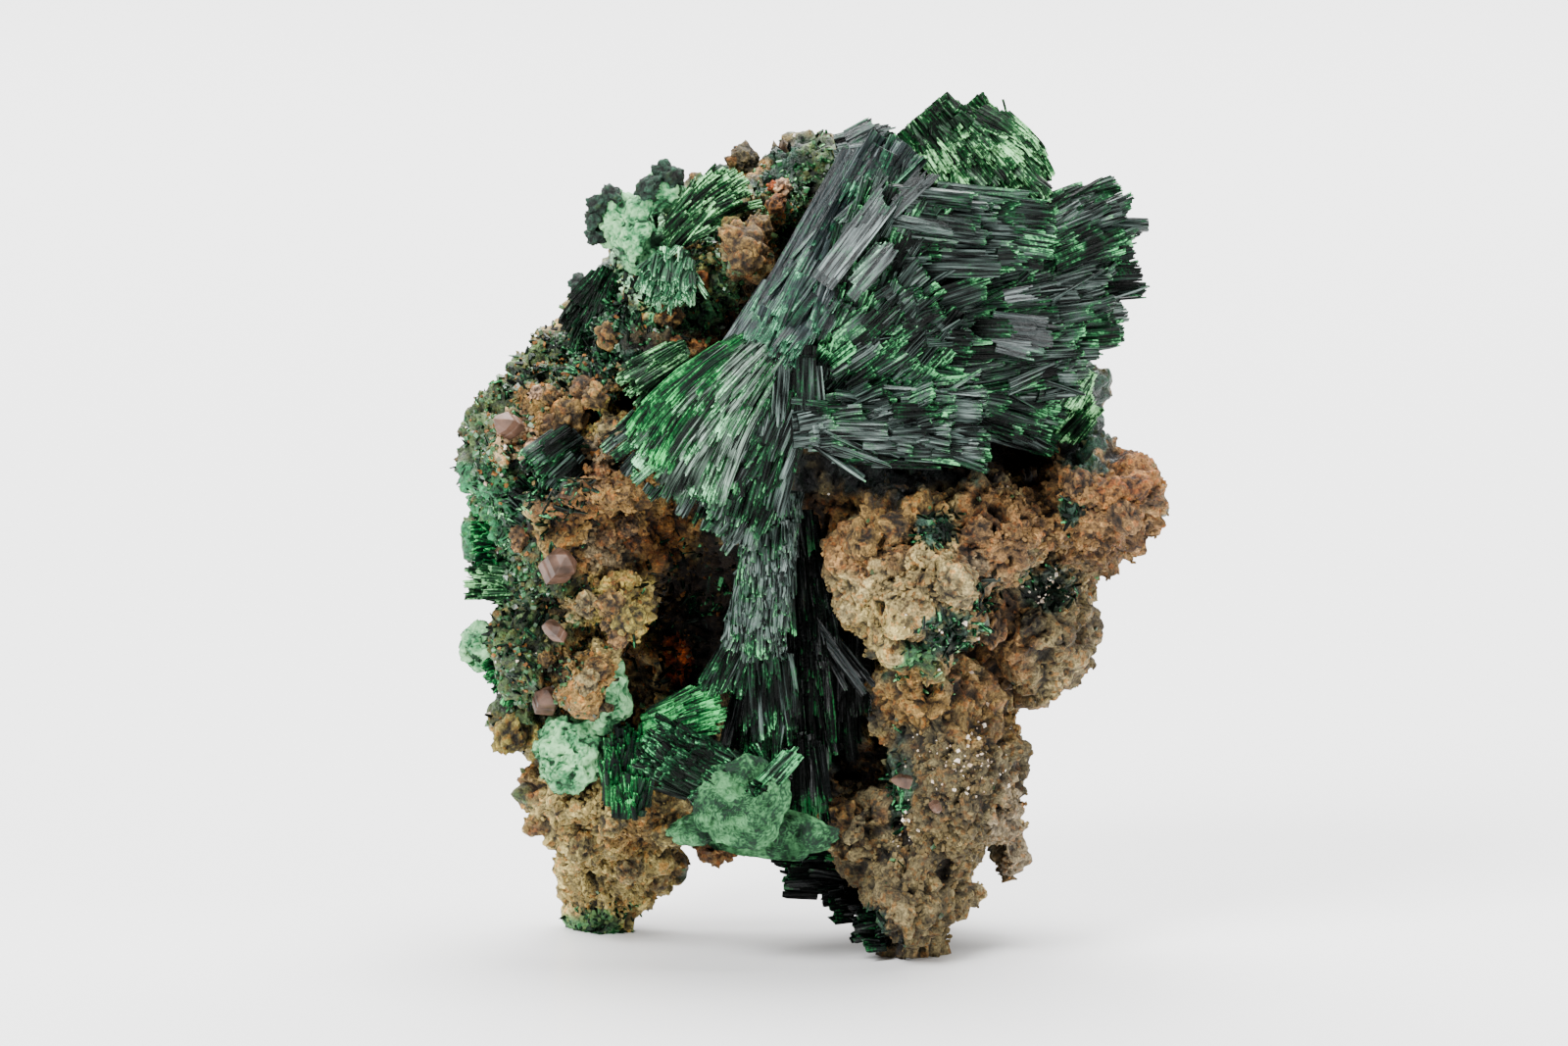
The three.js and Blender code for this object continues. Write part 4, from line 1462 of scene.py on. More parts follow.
SPRAYS = (
    Spray("long_blades", "long_blade_fan", DARK_BLADES, "dark_blade", 11, (
        layer((-2.2, 61.5, -20), (-3, 51, -19.6), (4.2, 5.6), 1.6, 9, (0.5, 0.95), blade_wide=2.4, laths=8,
              green=-0.2, tone=0.55, splay=4, lift=2, roll=9, ragged=0.9),
        layer((-2.4, 57.5, -19), (-9.4, 41.6, -17), (5.5, 8), 2.4, 120, (0.12, 0.45), blade_wide=1.1,
              laths=7, green=0.12, tone=0.35, splay=5, lift=4, roll=12),
        layer((-4.6, 48.4, -16.8), (-8.6, 39.8, -15.6), (2, 3.8), 1.4, 22, (0.3, 0.7), blade_wide=0.8,
              laths=6, green=0.2, tone=1, splay=5, lift=5, roll=12),
    )),
    Spray("slate_blade", "", SLATE_BLADES, "dark_blade", 13, (
        layer((7.6, 81.4, -13), (-4.4, 60.4, -20), (4.2, 4.6), 1.2, 10, (0.8, 1), blade_wide=3.2, laths=26,
              green=0, tone=0.55, splay=0.6, lift=0.4, roll=3, ragged=0.5, crease=4),
        layer((8, 80.8, -13.4), (-3.4, 61.4, -20.4), (3.8, 4.4), 1, 9, (0.3, 0.7), blade_wide=1.8, laths=16,
              green=0.2, tone=0.5, splay=1, lift=0.6, roll=4, ragged=0.6, crease=4),
    )),
    Spray("silky_fan", "", FAN_BLADES, "dark_blade", 21, (
        layer((-3, 63, -19.8), (-15.6, 46.2, -18.2), (3, 13), 1.3, 190, (0.25, 0.8), blade_wide=1, laths=10,
              green=0, tone=0.5, splay=1.4, lift=1.4, roll=8, bow=0.5, swerve=-1, ragged=0.4),
        layer((-4, 60, -19.8), (-13, 46, -18.8), (1.6, 7), 1.2, 80, (0.15, 0.45), blade_wide=0.8, laths=8,
              green=0.05, tone=0.75, splay=2, lift=2, roll=10, bow=0.5, swerve=-0.8, ragged=0.4),
    )),
    Spray("fan_edge", "", EMERALD_BLADES, "dark_blade", 23, (
        layer((-4.8, 62.6, -19.8), (-17.2, 49.4, -18.2), (1.4, 5.8), 1.2, 90, (0.35, 0.95), blade_wide=0.9,
              laths=10, green=0.3, tone=0.2, splay=1.6, lift=1.6, roll=9, bow=0.6, swerve=-1.6),
    )),
    Spray("lower_blade_layers", "lower_blade", DARK_BLADES, "dark_blade", 31, (
        layer((-1.6, 52.6, -19), (17, 53.4, -21), (1.6, 8), 1.4, 34, (0.5, 1), blade_wide=2.4, laths=18,
              green=0.02, tone=0.5, splay=0.8, lift=1, roll=4, swerve=0.6, ragged=0.5, crease=6),
        layer((-1, 52.4, -19), (16.6, 53.6, -21), (2, 8), 1.4, 40, (0.1, 0.35), blade_wide=1.6, laths=12,
              green=0.1, tone=0.5, splay=1.4, lift=1.4, roll=6, swerve=0.6, crease=6),
        layer((1, 50.8, -18.4), (14.4, 51, -20), (2.2, 3), 1.2, 20, (0.4, 0.8), blade_wide=1.5, laths=10,
              green=0, tone=0.25, splay=1.4, lift=1.4, roll=6),
    )),
    Spray("main_spray_left", "main_spray", DARK_BLADES, "dark_blade", 41, (
        layer((0.4, 57.5, -16), (9.4, 76.4, -19.6), (6.4, 8.6), 2.6, 110, (0.12, 0.4), blade_wide=1.7,
              laths=10, green=0.2, tone=0.4, splay=3, lift=3, roll=12),
        layer((1, 58, -17), (13, 66.2, -20.6), (5, 7), 2.4, 70, (0.2, 0.5), blade_wide=1.8, laths=10,
              green=0.15, tone=0.5, splay=2.5, lift=2.5, roll=10),
        layer((2.6, 54.8, -16), (12.6, 64.4, -20.6), (6, 7), 2.4, 60, (0.2, 0.6), blade_wide=1.8, laths=10,
              green=0.2, tone=0.4, splay=2.5, lift=2.5, roll=10),
        layer((3.4, 68, -13), (8, 79, -13), (7, 8), 3, 50, (0.3, 0.8), blade_wide=1.8, laths=9, green=0.15,
              tone=0.4, splay=4, lift=3, roll=10),
    )),
    Spray("main_spray_right", "", DARK_BLADES, "dark_blade", 51, (
        layer((9.6, 74.2, -18), (24, 72.6, -18.6), (4.4, 4.4), 1.2, 16, (0.6, 1), blade_wide=2.8, laths=17,
              green=0.02, tone=0.4, splay=0.8, lift=0.8, roll=4, crease=6),
        layer((9.6, 71, -17), (22.6, 71.6, -18), (2.6, 4.4), 1.4, 24, (0.25, 0.7), blade_wide=1.8, laths=10,
              green=0.15, tone=0.5, splay=1.5, lift=1.5, roll=6),
        layer((12.6, 65.6, -15), (31.6, 71.8, -9.4), (4, 8.2), 2.6, 64, (0.25, 0.65), blade_wide=2.2,
              laths=12, green=0.08, tone=0.5, splay=2, lift=2, roll=8, ragged=0.8),
        layer((17, 69.4, -14), (29.6, 75, -9), (4, 5.6), 2.2, 44, (0.3, 0.8), blade_wide=2, laths=11,
              green=0.1, tone=0.6, splay=2, lift=2, roll=8, ragged=0.8),
        layer((10.6, 62.8, -17), (29.8, 65.8, -12.6), (5, 7), 2.4, 64, (0.2, 0.6), blade_wide=2.2, laths=12,
              green=0.08, tone=0.5, splay=2, lift=2, roll=8, ragged=0.8),
        layer((9.6, 58.8, -17), (28, 62.2, -13.6), (5, 6.6), 2.4, 60, (0.2, 0.6), blade_wide=2.2, laths=12,
              green=0.08, tone=0.5, splay=2, lift=2, roll=8, ragged=0.8),
        layer((10.4, 57.4, -14), (25.4, 54.6, -10), (2.4, 7), 2.2, 90, (0.25, 0.7), blade_wide=1.2, laths=6,
              green=-0.1, tone=0.35, splay=3, lift=3, roll=12, ragged=0.8),
        layer((18.4, 70.4, -5), (31.2, 75, -1), (6, 6.5), 2.6, 50, (0.3, 0.8), blade_wide=1.8, laths=6,
              green=0.1, tone=0.4, splay=3, lift=3, roll=12),
        layer((21, 64, -4), (31.4, 66.8, 1), (7, 8), 2.6, 50, (0.3, 0.8), blade_wide=1.8, laths=6,
              green=0.1, tone=0.3, splay=3, lift=4, roll=12),
        layer((10, 68, -13.5), (16, 76, -12), (7, 8), 3, 40, (0.4, 0.8), blade_wide=1.8, laths=6,
              green=0.15, tone=0.4, splay=5, lift=4, roll=14),
    )),
    # Blades that catch the light, in the lighter finish and mostly with a high tone: painted highlight.
    Spray("painted_glint_blades", "", PAINTED_GLINT_BLADES, "dark_blade", 55, (
        layer((0.6, 67.2, -20.6), (8.2, 77.4, -21.4), (1.2, 2.2), 0.5, 4, (0.6, 1), blade_wide=1.7, laths=9,
              green=-0.2, tone=0.75, splay=1.5, lift=0.6, roll=5, ragged=0.7, rounding=0.2, crease=3),
        layer((6.8, 73.6, -20.4), (12.2, 78.9, -21.2), (1, 1.8), 0.5, 3, (0.6, 1), blade_wide=1.4, laths=9,
              green=-0.2, tone=0.35, splay=1.5, lift=0.6, roll=5, ragged=0.9, rounding=0.2, crease=3),
        layer((2.4, 65.2, -20.4), (8.4, 72.2, -20.8), (1.4, 2.2), 0.6, 5, (0.4, 0.8), blade_wide=1.2,
              laths=8, green=0.15, tone=0.4, splay=3, lift=1, roll=8, crease=5),
        # Painted glint: a tone of 1.3 gives these two blades the full sheen.
        layer((18.8, 66.2, -18.2), (22.2, 67, -18.2), (1, 1.4), 0.5, 2, (0.8, 1), blade_wide=1.1, laths=6,
              green=-0.6, tone=1.3, splay=3, lift=1, roll=5, crease=3),
        layer((16.6, 62.8, -18.4), (24.4, 61.6, -17.4), (2, 2.8), 0.7, 6, (0.4, 0.9), blade_wide=1.5,
              laths=8, green=-0.3, tone=0.1, splay=3, lift=1, roll=6, ragged=1, crease=4),
        layer((2.4, 81.2, -9.4), (8, 82.8, -9.4), (1.6, 2.4), 0.6, 5, (0.4, 0.9), blade_wide=1.5, laths=8,
              green=-0.2, tone=0.8, splay=5, lift=2, roll=8, crease=4),
        layer((-0.8, 34.6, -9.4), (6, 26, -8.4), (0.9, 1.2), 0.5, 2, (0.8, 1), blade_wide=0.6, laths=3,
              green=-0.4, tone=0.1, splay=4, lift=2, roll=10),
    )),
    Spray("top_sheaf_laths", "top_sheaf", GREEN_BLADES, "green_blade", 61, (
        layer((11.4, 84.6, -9), (20.8, 73.6, -11), (3.6, 8.6), 2.2, 150, (0.2, 0.6), blade_wide=0.9,
              laths=6, green=0.42, tone=0.35, splay=4, lift=4, roll=12, bow=1, swerve=1.2),
        layer((15.2, 85, -8.6), (22.8, 75.2, -10), (3.6, 5), 2, 90, (0.2, 0.6), blade_wide=0.8, laths=6,
              green=0.45, tone=0.35, splay=4, lift=4, roll=12, bow=0.8, swerve=1.4),
        layer((16.8, 73, -7.4), (14.4, 84.8, -7.4), (9, 10), 3, 120, (0.3, 0.8), blade_wide=1.1, laths=6,
              green=0.5, tone=0.4, splay=5, lift=4, roll=14),
        layer((12, 82.4, -10.6), (16, 77.6, -11.8), (5, 6), 1.4, 60, (0.25, 0.6), blade_wide=0.6, laths=5,
              green=0.75, tone=0.4, splay=6, lift=5, roll=14, bow=0.3),
    )),
    Spray("top_left_laths", "top_left_blades", DARK_BLADES, "dark_blade", 71, (
        layer((7.2, 74.4, -9), (5, 83, -6), (5, 5.4), 2.4, 30, (0.4, 0.8), laths=6, tone=0.6),
        # Painted glint: a tone of 1.6 gives these blades the full sheen.
        layer((1.6, 80.8, -8), (8.6, 82.4, -8), (2.2, 2.8), 1.2, 8, (0.5, 0.9), blade_wide=2, laths=8,
              green=-0.1, tone=1.6, splay=2, lift=2, roll=8),
    )),
    Spray("corner_laths", "corner_crystals", GREEN_BLADES, "green_blade", 81, (
        layer((24, 51.8, -6), (28, 57, -9), (4, 4.4), 2.2, 20, (0.4, 0.9), blade_wide=1.8, green=0.3,
              tone=0.5, splay=5, lift=5, roll=16),
        layer((24.6, 55.6, -9.4), (27, 59.4, -9.8), (2.2, 2.4), 1, 4, (0.7, 1), blade_wide=2, green=0.7,
              tone=0.8, splay=4, lift=4, roll=10),
    )),
    Spray("centre_sheaf_laths", "centre_sheaf", DARK_BLADES, "dark_blade", 91, (
        layer((-4.6, 46.4, -12.6), (-5.8, 29.4, -14.6), (3.6, 5.6), 1.6, 330, (0.05, 0.2), blade_wide=0.7,
              laths=4, green=-0.02, tone=0.9, splay=6, lift=5, roll=16, bow=0.9, ragged=0.4),
        layer((-4.6, 46.4, -12.2), (-5.8, 29.4, -13.8), (3.6, 5.6), 2, 40, (0.3, 0.8), blade_wide=1.4,
              laths=7, green=0, tone=0.6, splay=2, lift=2, roll=9, bow=0.9),
        layer((-6.2, 35, -13), (-10, 25.4, -12), (2, 4), 1.8, 60, (0.3, 0.9), blade_wide=0.5, laths=3,
              green=-0.1, tone=0.3, splay=7, lift=5, roll=18, ragged=1),
        layer((-4.6, 32, -12.8), (-4, 19.8, -12), (4.4, 5), 1.8, 70, (0.25, 0.8), blade_wide=0.5, laths=3,
              green=-0.1, tone=0.25, splay=5, lift=5, roll=18, ragged=1),
    )),
    Spray("centre_fringe_laths", "centre_fringe", BLACK_BLADES, "dark_blade", 94, (
        layer((-2.8, 36, -7), (-3.6, 16.4, -6), (7, 12), 2.2, 170, (0.2, 0.7), blade_wide=0.8, laths=4,
              green=0.1, tone=0.4, splay=3, lift=3, roll=16),
        layer((-1.4, 22.4, -9), (-0.4, 11.6, -9), (3.6, 3.4), 1.6, 30, (0.4, 0.9), blade_wide=0.9, laths=6,
              green=0.35, tone=0.5, splay=3, lift=3, roll=12),
    )),
    Spray("hollow_sheaf_laths", "hollow_sheaf", BLACK_BLADES, "dark_blade", 97, (
        layer((1.6, 46, -2), (2, 19, 0), (6, 8), 2.4, 110, (0.2, 0.7), blade_wide=0.9, laths=5, green=-0.1,
              tone=0.3, splay=2.5, lift=3, roll=16),
        layer((-1.2, 45.6, -8.5), (0.2, 28.6, -9), (3, 4.6), 2, 80, (0.2, 0.7), blade_wide=0.7, laths=4,
              green=-0.1, tone=0.5, splay=3, lift=3, roll=16),
        layer((-0.8, 34.6, -9), (6, 26, -8), (1.6, 2.4), 1.2, 5, (0.6, 1), blade_wide=0.8, laths=3, green=0,
              tone=1, splay=4, lift=3, roll=10),
    )),
    Spray("lower_green_lobe", "lower_green_fan", DEEP_BLADES, "green_blade", 101, (
        layer((-7, 16.4, -13), (-16.8, 22, -14), (4.6, 5.6), 1.8, 110, (0.15, 0.5), blade_wide=0.9, laths=6,
              green=0, tone=0.2, splay=4, lift=4, roll=12, bow=0.9, swerve=0.8),
        layer((-6.2, 15.8, -15.2), (-1.4, 20.8, -15.8), (1.5, 1.5), 0.8, 5, (0.8, 1), blade_wide=1.3,
              laths=7, green=0.8, tone=0.9, splay=2, lift=2, roll=8),
    )),
    Spray("lower_left_laths", "lower_left_fan", EMERALD_BLADES, "green_blade", 106, (
        layer((-18, 22.2, -9), (-9, 25.2, -11), (2.6, 5), 1.4, 80, (0.3, 0.9), blade_wide=0.7, laths=6,
              green=0.45, tone=0.5, splay=3, lift=3, roll=10, bow=0.4),
        layer((-19, 13.6, -9), (-18.8, 23.2, -11), (4.2, 4.2), 2.6, 110, (0.15, 0.5), blade_wide=0.9,
              laths=5, green=0, tone=0.2, splay=7, lift=5, roll=18),
    )),
    Spray("base_laths", "base_crystals", BLACK_BLADES, "dark_blade", 111, (
        layer((5.6, 7.2, 2), (-5.6, 8.2, 0), (3.6, 3.4), 2.8, 18, (0.3, 0.8), blade_wide=1.9, laths=3,
              green=0, tone=0.6, splay=7, lift=5, roll=18, ragged=0.8),
        layer((6, 4.8, 0), (0.2, 4.8, -1), (2.6, 2.4), 2.2, 10, (0.3, 0.8), blade_wide=1.7, laths=3,
              green=0, tone=0.6, splay=7, lift=5, roll=18, ragged=0.8),
    )),
    Spray("foot_laths", "foot_crystal", BLACK_BLADES, "dark_blade", 121, (
        layer((8.4, 2.4, -7), (3.8, 1.9, -9), (3, 3.2), 2.6, 12, (0.4, 0.9), blade_wide=1.6, laths=3,
              green=0.1, tone=0.7, splay=8, lift=6, roll=20),
    )),
    Spray("left_plate_laths", "left_plates", DARK_BLADES, "dark_blade", 131, (
        layer((-23.4, 52.2, -12), (-28.6, 47.8, -16), (3.4, 4.6), 1.2, 10, (0.5, 0.9), blade_wide=2.2,
              laths=6, green=0.05, tone=0.25, splay=5, lift=4, roll=10, ragged=0.9),
    )),
    Spray("left_dark_laths", "left_dark_plate", DARK_BLADES, "dark_blade", 141, (
        layer((-26.6, 43.6, -9), (-30.8, 47.2, -11), (2.6, 3.4), 1.4, 8, (0.5, 0.9), blade_wide=2, laths=5,
              green=-0.1, tone=0.3, splay=5, lift=4, roll=12, ragged=0.9),
    )),
    Spray("left_edge_laths", "left_edge_blades", EMERALD_BLADES, "green_blade", 151, (
        layer((-27.6, 41.2, -1), (-35.2, 42.6, -3), (6, 9), 2.2, 70, (0.3, 0.8), blade_wide=1, laths=5,
              green=0.4, tone=0.3, splay=12, lift=9, roll=24),
    )),
    Spray("left_ledge_laths", "left_ledge_blades", GREEN_BLADES, "green_blade", 156, (
        layer((-27, 37, -4), (-36, 37.4, -5), (3.2, 3.6), 2.2, 40, (0.3, 0.8), blade_wide=1, laths=5,
              green=0.2, tone=0.8, splay=9, lift=6, roll=20),
    )),
    Spray("left_low_laths", "left_low_blades", EMERALD_BLADES, "green_blade", 161, (
        layer((-26.8, 31, -3), (-33.4, 26.8, -4), (5.6, 7.6), 2.2, 60, (0.3, 0.8), blade_wide=0.9, laths=4,
              green=0.3, tone=0.4, splay=14, lift=9, roll=24),
    )),
    Spray("slope_laths", "slope_blades", DEEP_BLADES, "green_blade", 171, (
        layer((-20.6, 69.4, -2), (-25.2, 61.2, -5), (2.6, 3.6), 1.6, 50, (0.2, 0.6), blade_wide=0.9,
              laths=5, green=0.05, tone=0.2, splay=6, lift=5, roll=16),
    )),
    Spray("inner_fan_laths", "inner_fan", GREEN_BLADES, "green_blade", 181, (
        layer((-12.6, 61.4, -12), (-19.8, 56.6, -15), (2, 4), 1.4, 40, (0.3, 0.9), blade_wide=0.8, laths=5,
              green=0.2, tone=0.9, splay=4, lift=4, roll=12),
    )),
    Spray("upper_fan_laths", "upper_green_fan", GREEN_BLADES, "green_blade", 191, (
        layer((-15.2, 71.4, -8), (-6, 78.2, -8), (2.6, 4.6), 1.8, 90, (0.2, 0.7), blade_wide=0.8, laths=6,
              green=0.4, tone=0.3, splay=5, lift=4, roll=14, bow=0.5, swerve=0.8),
    )),
    Spray("upper_slab_laths", "upper_slab", PALE_BLADES, "green_blade", 201, (
        layer((-13.8, 71.4, -9), (-15.8, 64.4, -12), (4.6, 5.6), 1.8, 110, (0.12, 0.45), blade_wide=0.8,
              laths=5, green=0.3, tone=0.4, splay=16, lift=8, roll=20, rounding=0.3),
    )),
)


def guides(name: str) -> tuple[Plate, ...]:
    """Return the layers of the spray with that name."""
    return next(spray.plates for spray in SPRAYS if spray.name == name)


THATCHES = (
    Thatch("main_spray_cover", "main_spray", guides("main_spray_left"), blades=420, long=(2, 6),
           blade_wide=1.6, laths=10, finish=DARK_BLADES, slot="dark_blade", seed=901, green=0.12, tone=0.4,
           lift=6, sway=4, ragged=0.4, crease=8),
    Thatch("right_spray_cover", "main_spray", guides("main_spray_right"), blades=420, long=(4, 11),
           blade_wide=2, laths=11, finish=DARK_BLADES, slot="dark_blade", seed=905, green=0.02, tone=0.5,
           lift=4, sway=3, ragged=0.5, crease=7),
    Thatch("slate_cover", "long_blade_fan", guides("slate_blade")[:1], blades=70, long=(4, 12),
           blade_wide=2.2, laths=20, finish=SLATE_BLADES, slot="dark_blade", seed=911, green=0.12, tone=0.5,
           lift=0.8, sway=2, ragged=0.5, crease=3),
    Thatch("fan_cover", "long_blade_fan", guides("silky_fan")[:1] + guides("long_blades")[1:], blades=300,
           long=(0.8, 3), blade_wide=0.9, laths=7, finish=DARK_BLADES, slot="dark_blade", seed=913,
           green=0.1, tone=0.6, lift=5, sway=5),
    Thatch("top_sheaf_cover", "top_sheaf", guides("top_sheaf_laths")[:2], blades=500, long=(2, 6.5),
           blade_wide=1, laths=8, finish=GREEN_BLADES, slot="green_blade", seed=921, green=0.3, tone=0.4,
           lift=5, sway=4),
    Thatch("lower_blade_cover", "lower_blade", guides("lower_blade_layers")[:1], blades=170, long=(4, 11),
           blade_wide=1.6, laths=11, finish=DARK_BLADES, slot="dark_blade", seed=931, green=0, tone=0.7,
           lift=2, sway=2, crease=6),
    # A tone of 1.2 gives this cover much painted sheen.
    Thatch("centre_cover", "centre_sheaf", guides("centre_sheaf_laths"), blades=580, long=(0.6, 3),
           blade_wide=0.7, laths=6, finish=DARK_BLADES, slot="dark_blade", seed=941, green=-0.14, tone=1.2,
           lift=6, sway=7),
    Thatch("lobe_cover", "lower_green_fan", guides("lower_green_lobe")[:1], blades=260, long=(0.8, 3),
           blade_wide=0.9, laths=6, finish=DEEP_BLADES, slot="green_blade", seed=951, green=0.1, tone=0.3,
           lift=7, sway=8),
)


@dataclass
class FlakySheet:
    """A closed, slightly domed sheet of thin curling layers, wider than it is thick."""

    name: str
    middle: Triple
    half: Pair
    turn: float
    thick: float
    seed: int
    facing: Triple = (0.0, -1.0, 0.12)
    rows: int = 56
    columns: int = 128

    def build(self) -> bpy.types.Object:
        """Return the sheet's object.

        The sheet is an ellipse in rings from its middle to its ragged rim, closed by the same
        rings behind, fewer of them. Its front is a dome plus steps of 0.22 mm that a bent noise gives.
        """
        ring = np.linspace(0.02, 1.0, self.rows)[:, None]
        angle = np.linspace(0.0, 2.0 * math.pi, self.columns, endpoint=False)[None, :]
        circle = np.stack([np.cos(angle) + 0 * ring, np.sin(angle) + 0 * ring, 0 * ring * angle], axis=-1)
        rim = 1.0 + 0.16 * rough_noise(circle[0] * 3.0 + self.seed, 1.6, 4, self.seed)
        x = ring * np.cos(angle) * self.half[0] * rim
        y = ring * np.sin(angle) * self.half[1] * rim
        flat = np.stack([x, y, 0.0 * x], axis=-1).reshape(-1, 3)
        swell = rough_noise(flat + 0.5 * noise(flat, 1.8, self.seed + 3)[:, None], 3.6, 4, self.seed + 5)
        steps = np.floor(swell / 0.14)
        within = swell / 0.14 - steps
        height = (steps + smooth_step(0.7, 1.0, within)) * 0.22 + 0.1 * noise(flat, 0.7, self.seed + 9)
        height = height.reshape(x.shape) + self.thick * (1.0 - ring**2) * 0.9
        height = height * (1.0 - ring**10) + 0.1
        across = unit(np.cross(np.array(self.facing), np.array([0.0, 0.0, 1.0])))
        face = unit(np.array(self.facing))
        rise = np.cross(face, across)
        spin = math.radians(self.turn)
        first = across * math.cos(spin) + rise * math.sin(spin)
        second = np.cross(face, first)
        plane = place(*self.middle) + x[..., None] * first + y[..., None] * second
        behind = [0, self.rows // 2, self.rows - 1]
        front = (plane + height[..., None] * face).reshape(-1, 3)
        back = (plane[behind] - 0.3 * face).reshape(-1, 3)
        lid = lid_faces(self.columns)
        top = np.concatenate([ring_faces(self.rows, self.columns), lid])
        under = np.concatenate([ring_faces(len(behind), self.columns), lid])[:, ::-1] + len(front)
        rim = (self.rows - 1) * self.columns + np.arange(self.columns)
        below = rim + len(behind) * self.columns
        edge = np.stack([rim, below, np.roll(below, -1), np.roll(rim, -1)], axis=-1)
        points = np.concatenate([front, back])
        relief = np.concatenate([within * 0.7 + 0.15, np.full(len(back), 0.5)])
        thing = make_object(
            self.name, keep_in_box(points), np.concatenate([top, under, edge]), {"relief": relief}
        )
        # The flakes take the crust finish; its last colour is painted shade for low relief.
        finish = CrustFinish("pale flaky layers", "487e50", "0c341a", "081e12")
        thing.data.materials.append(finish.material())
        finish_piece(thing, "green_blade", ())
        return thing


FLAKY_SHEETS = (
    FlakySheet("pale_disc", (-7.6, 15.3, -15.5), (5.0, 4.7), 20.0, 0.9, 601),
    FlakySheet("pale_ledge", (-5.0, 12.0, -12.8), (7.3, 2.6), -4.0, 0.5, 621),
    FlakySheet("pale_lip", (-11.4, 12.6, -13.4), (3.6, 1.7), 12.0, 0.5, 641),
)


@dataclass(frozen=True)
class CrustFinish:
    """Powdery green crust with painted light on its high spots and painted shade, dark green, in its
    hollows and pores.
    """

    name: str = "mint crust"
    light: str = "82b682"
    deep: str = "2c6a40"
    pore_shade: str = "14301c"

    def material(self) -> bpy.types.Material:
        """Return the material."""
        sheet = ShaderSheet(self.name)
        place_now = sheet.add("ShaderNodeTexCoord").outputs["Object"]
        broad = sheet.texture("ShaderNodeTexNoise", place_now, 420.0, detail=6.0).outputs["Fac"]
        fine = sheet.texture("ShaderNodeTexNoise", place_now, 2600.0, detail=4.0).outputs["Fac"]
        height = sheet.math("ADD", sheet.number("relief"), sheet.remap(broad, (0.3, -0.6), (0.7, 0.6)))
        height = sheet.math("ADD", height, sheet.remap(fine, (0.3, -0.25), (0.7, 0.25)))
        # Painted light and shade: high relief takes the light green, low relief the deep green, and the
        # lowest the dark pore shade.
        is_high = sheet.remap(height, (0.3, 0.0), (1.05, 1.0))
        colour = sheet.mix(is_high, linear(self.deep), linear(self.light))
        colour = sheet.mix(sheet.remap(height, (0.05, 1.0), (0.3, 0.0)), colour, linear(self.pore_shade))
        sheet.link(colour, sheet.shader.inputs["Base Color"])
        sheet.shader.inputs["Roughness"].default_value = 0.85
        sheet.shader.inputs["Specular IOR Level"].default_value = 0.3
        sheet.link(sheet.bump(fine, 0.7, 0.00018), sheet.shader.inputs["Normal"])
        return sheet.material


@dataclass
class Crust:
    """A flaky crust: the solid's surface cut into thin steps, mint in front and dark round its rim."""

    node: str
    seed: int
    voxel: float = 0.22
    finish: CrustFinish = field(default_factory=CrustFinish)

    def build(self) -> Surface:
        """Build the crust's object and return its surface.

        The relief is a rough noise cut into flat steps of 0.21 mm with steep sides, a few sharp
        cracks between scattered points 2.6 mm apart, and pores.
        """
        base = solid_surface(self.node, self.voxel).smoothed(4)
        bend = np.stack([rough_noise(base.points, 3.2, 3, self.seed + 30 * k) for k in range(3)], axis=-1)
        base = Surface(base.points + 0.5 * bend, base.faces)
        swell = rough_noise(base.points + 0.5 * bend, 4.4, 5, self.seed + 7)
        steps = np.floor(swell / 0.16)
        within = swell / 0.16 - steps
        near, following, _ = cellular(base.points + bend, 2.6, self.seed + 9)
        cracks = smooth_step(0.07, 0.0, following - near)
        pores = smooth_step(0.38, 0.6, rough_noise(base.points, 1.1, 3, self.seed + 5))
        height = 0.21 * (steps + smooth_step(0.8, 1.0, within)) - 0.2 * cracks - 0.5 * pores
        height += 0.09 * rough_noise(base.points, 0.8, 3, self.seed)
        points = keep_in_box(base.points + base.normals() * height[:, None])
        crust = Surface(points, base.faces)
        normals = crust.normals()
        shown = smooth_step(-0.1, 0.55, -normals[:, 1] + 0.25 * rough_noise(points, 1.6, 3, self.seed + 3))
        patchy = smooth_step(-0.35, 0.05, rough_noise(points, 4.6, 4, self.seed + 11))
        shown = (0.15 + 0.85 * shown) * (0.62 + 0.38 * patchy)
        # relief is low in the hollows and pores, as painted shade, and lower where the crust turns from the
        # front and in broad patches.
        relief = np.clip((0.66 - 2.4 * crust.depth(normals, 3) - 0.3 * pores) * shown, 0.0, 1.0)
        thing = make_object(self.node + "_flakes", points, base.faces, {"relief": relief})
        thing.data.materials.append(self.finish.material())
        finish_piece(thing, "pale_crust", (self.node,))
        return crust


@dataclass(frozen=True)
class QuartzFinish:
    """Cloudy mauve-brown quartz with a waxy shine."""

    name: str = "cloudy quartz"
    light: str = "62483a"
    deep: str = "2c1e15"

    def material(self) -> bpy.types.Material:
        """Return the material."""
        sheet = ShaderSheet(self.name)
        place_now = sheet.add("ShaderNodeTexCoord").outputs["Object"]
        cloud = sheet.texture("ShaderNodeTexNoise", place_now, 520.0, detail=6.0).outputs["Fac"]
        is_pale = sheet.remap(cloud, (0.35, 0.0), (0.65, 1.0))
        colour = sheet.mix(is_pale, linear(self.deep), linear(self.light))
        sheet.link(colour, sheet.shader.inputs["Base Color"])
        sheet.shader.inputs["Roughness"].default_value = 0.46
        sheet.shader.inputs["Specular IOR Level"].default_value = 0.3
        sheet.shader.inputs["Subsurface Weight"].default_value = 0.12
        sheet.shader.inputs["Subsurface Radius"].default_value = (0.0012, 0.0008, 0.0006)
        sheet.link(sheet.bump(cloud, 0.5, 0.0003), sheet.shader.inputs["Normal"])
        return sheet.material


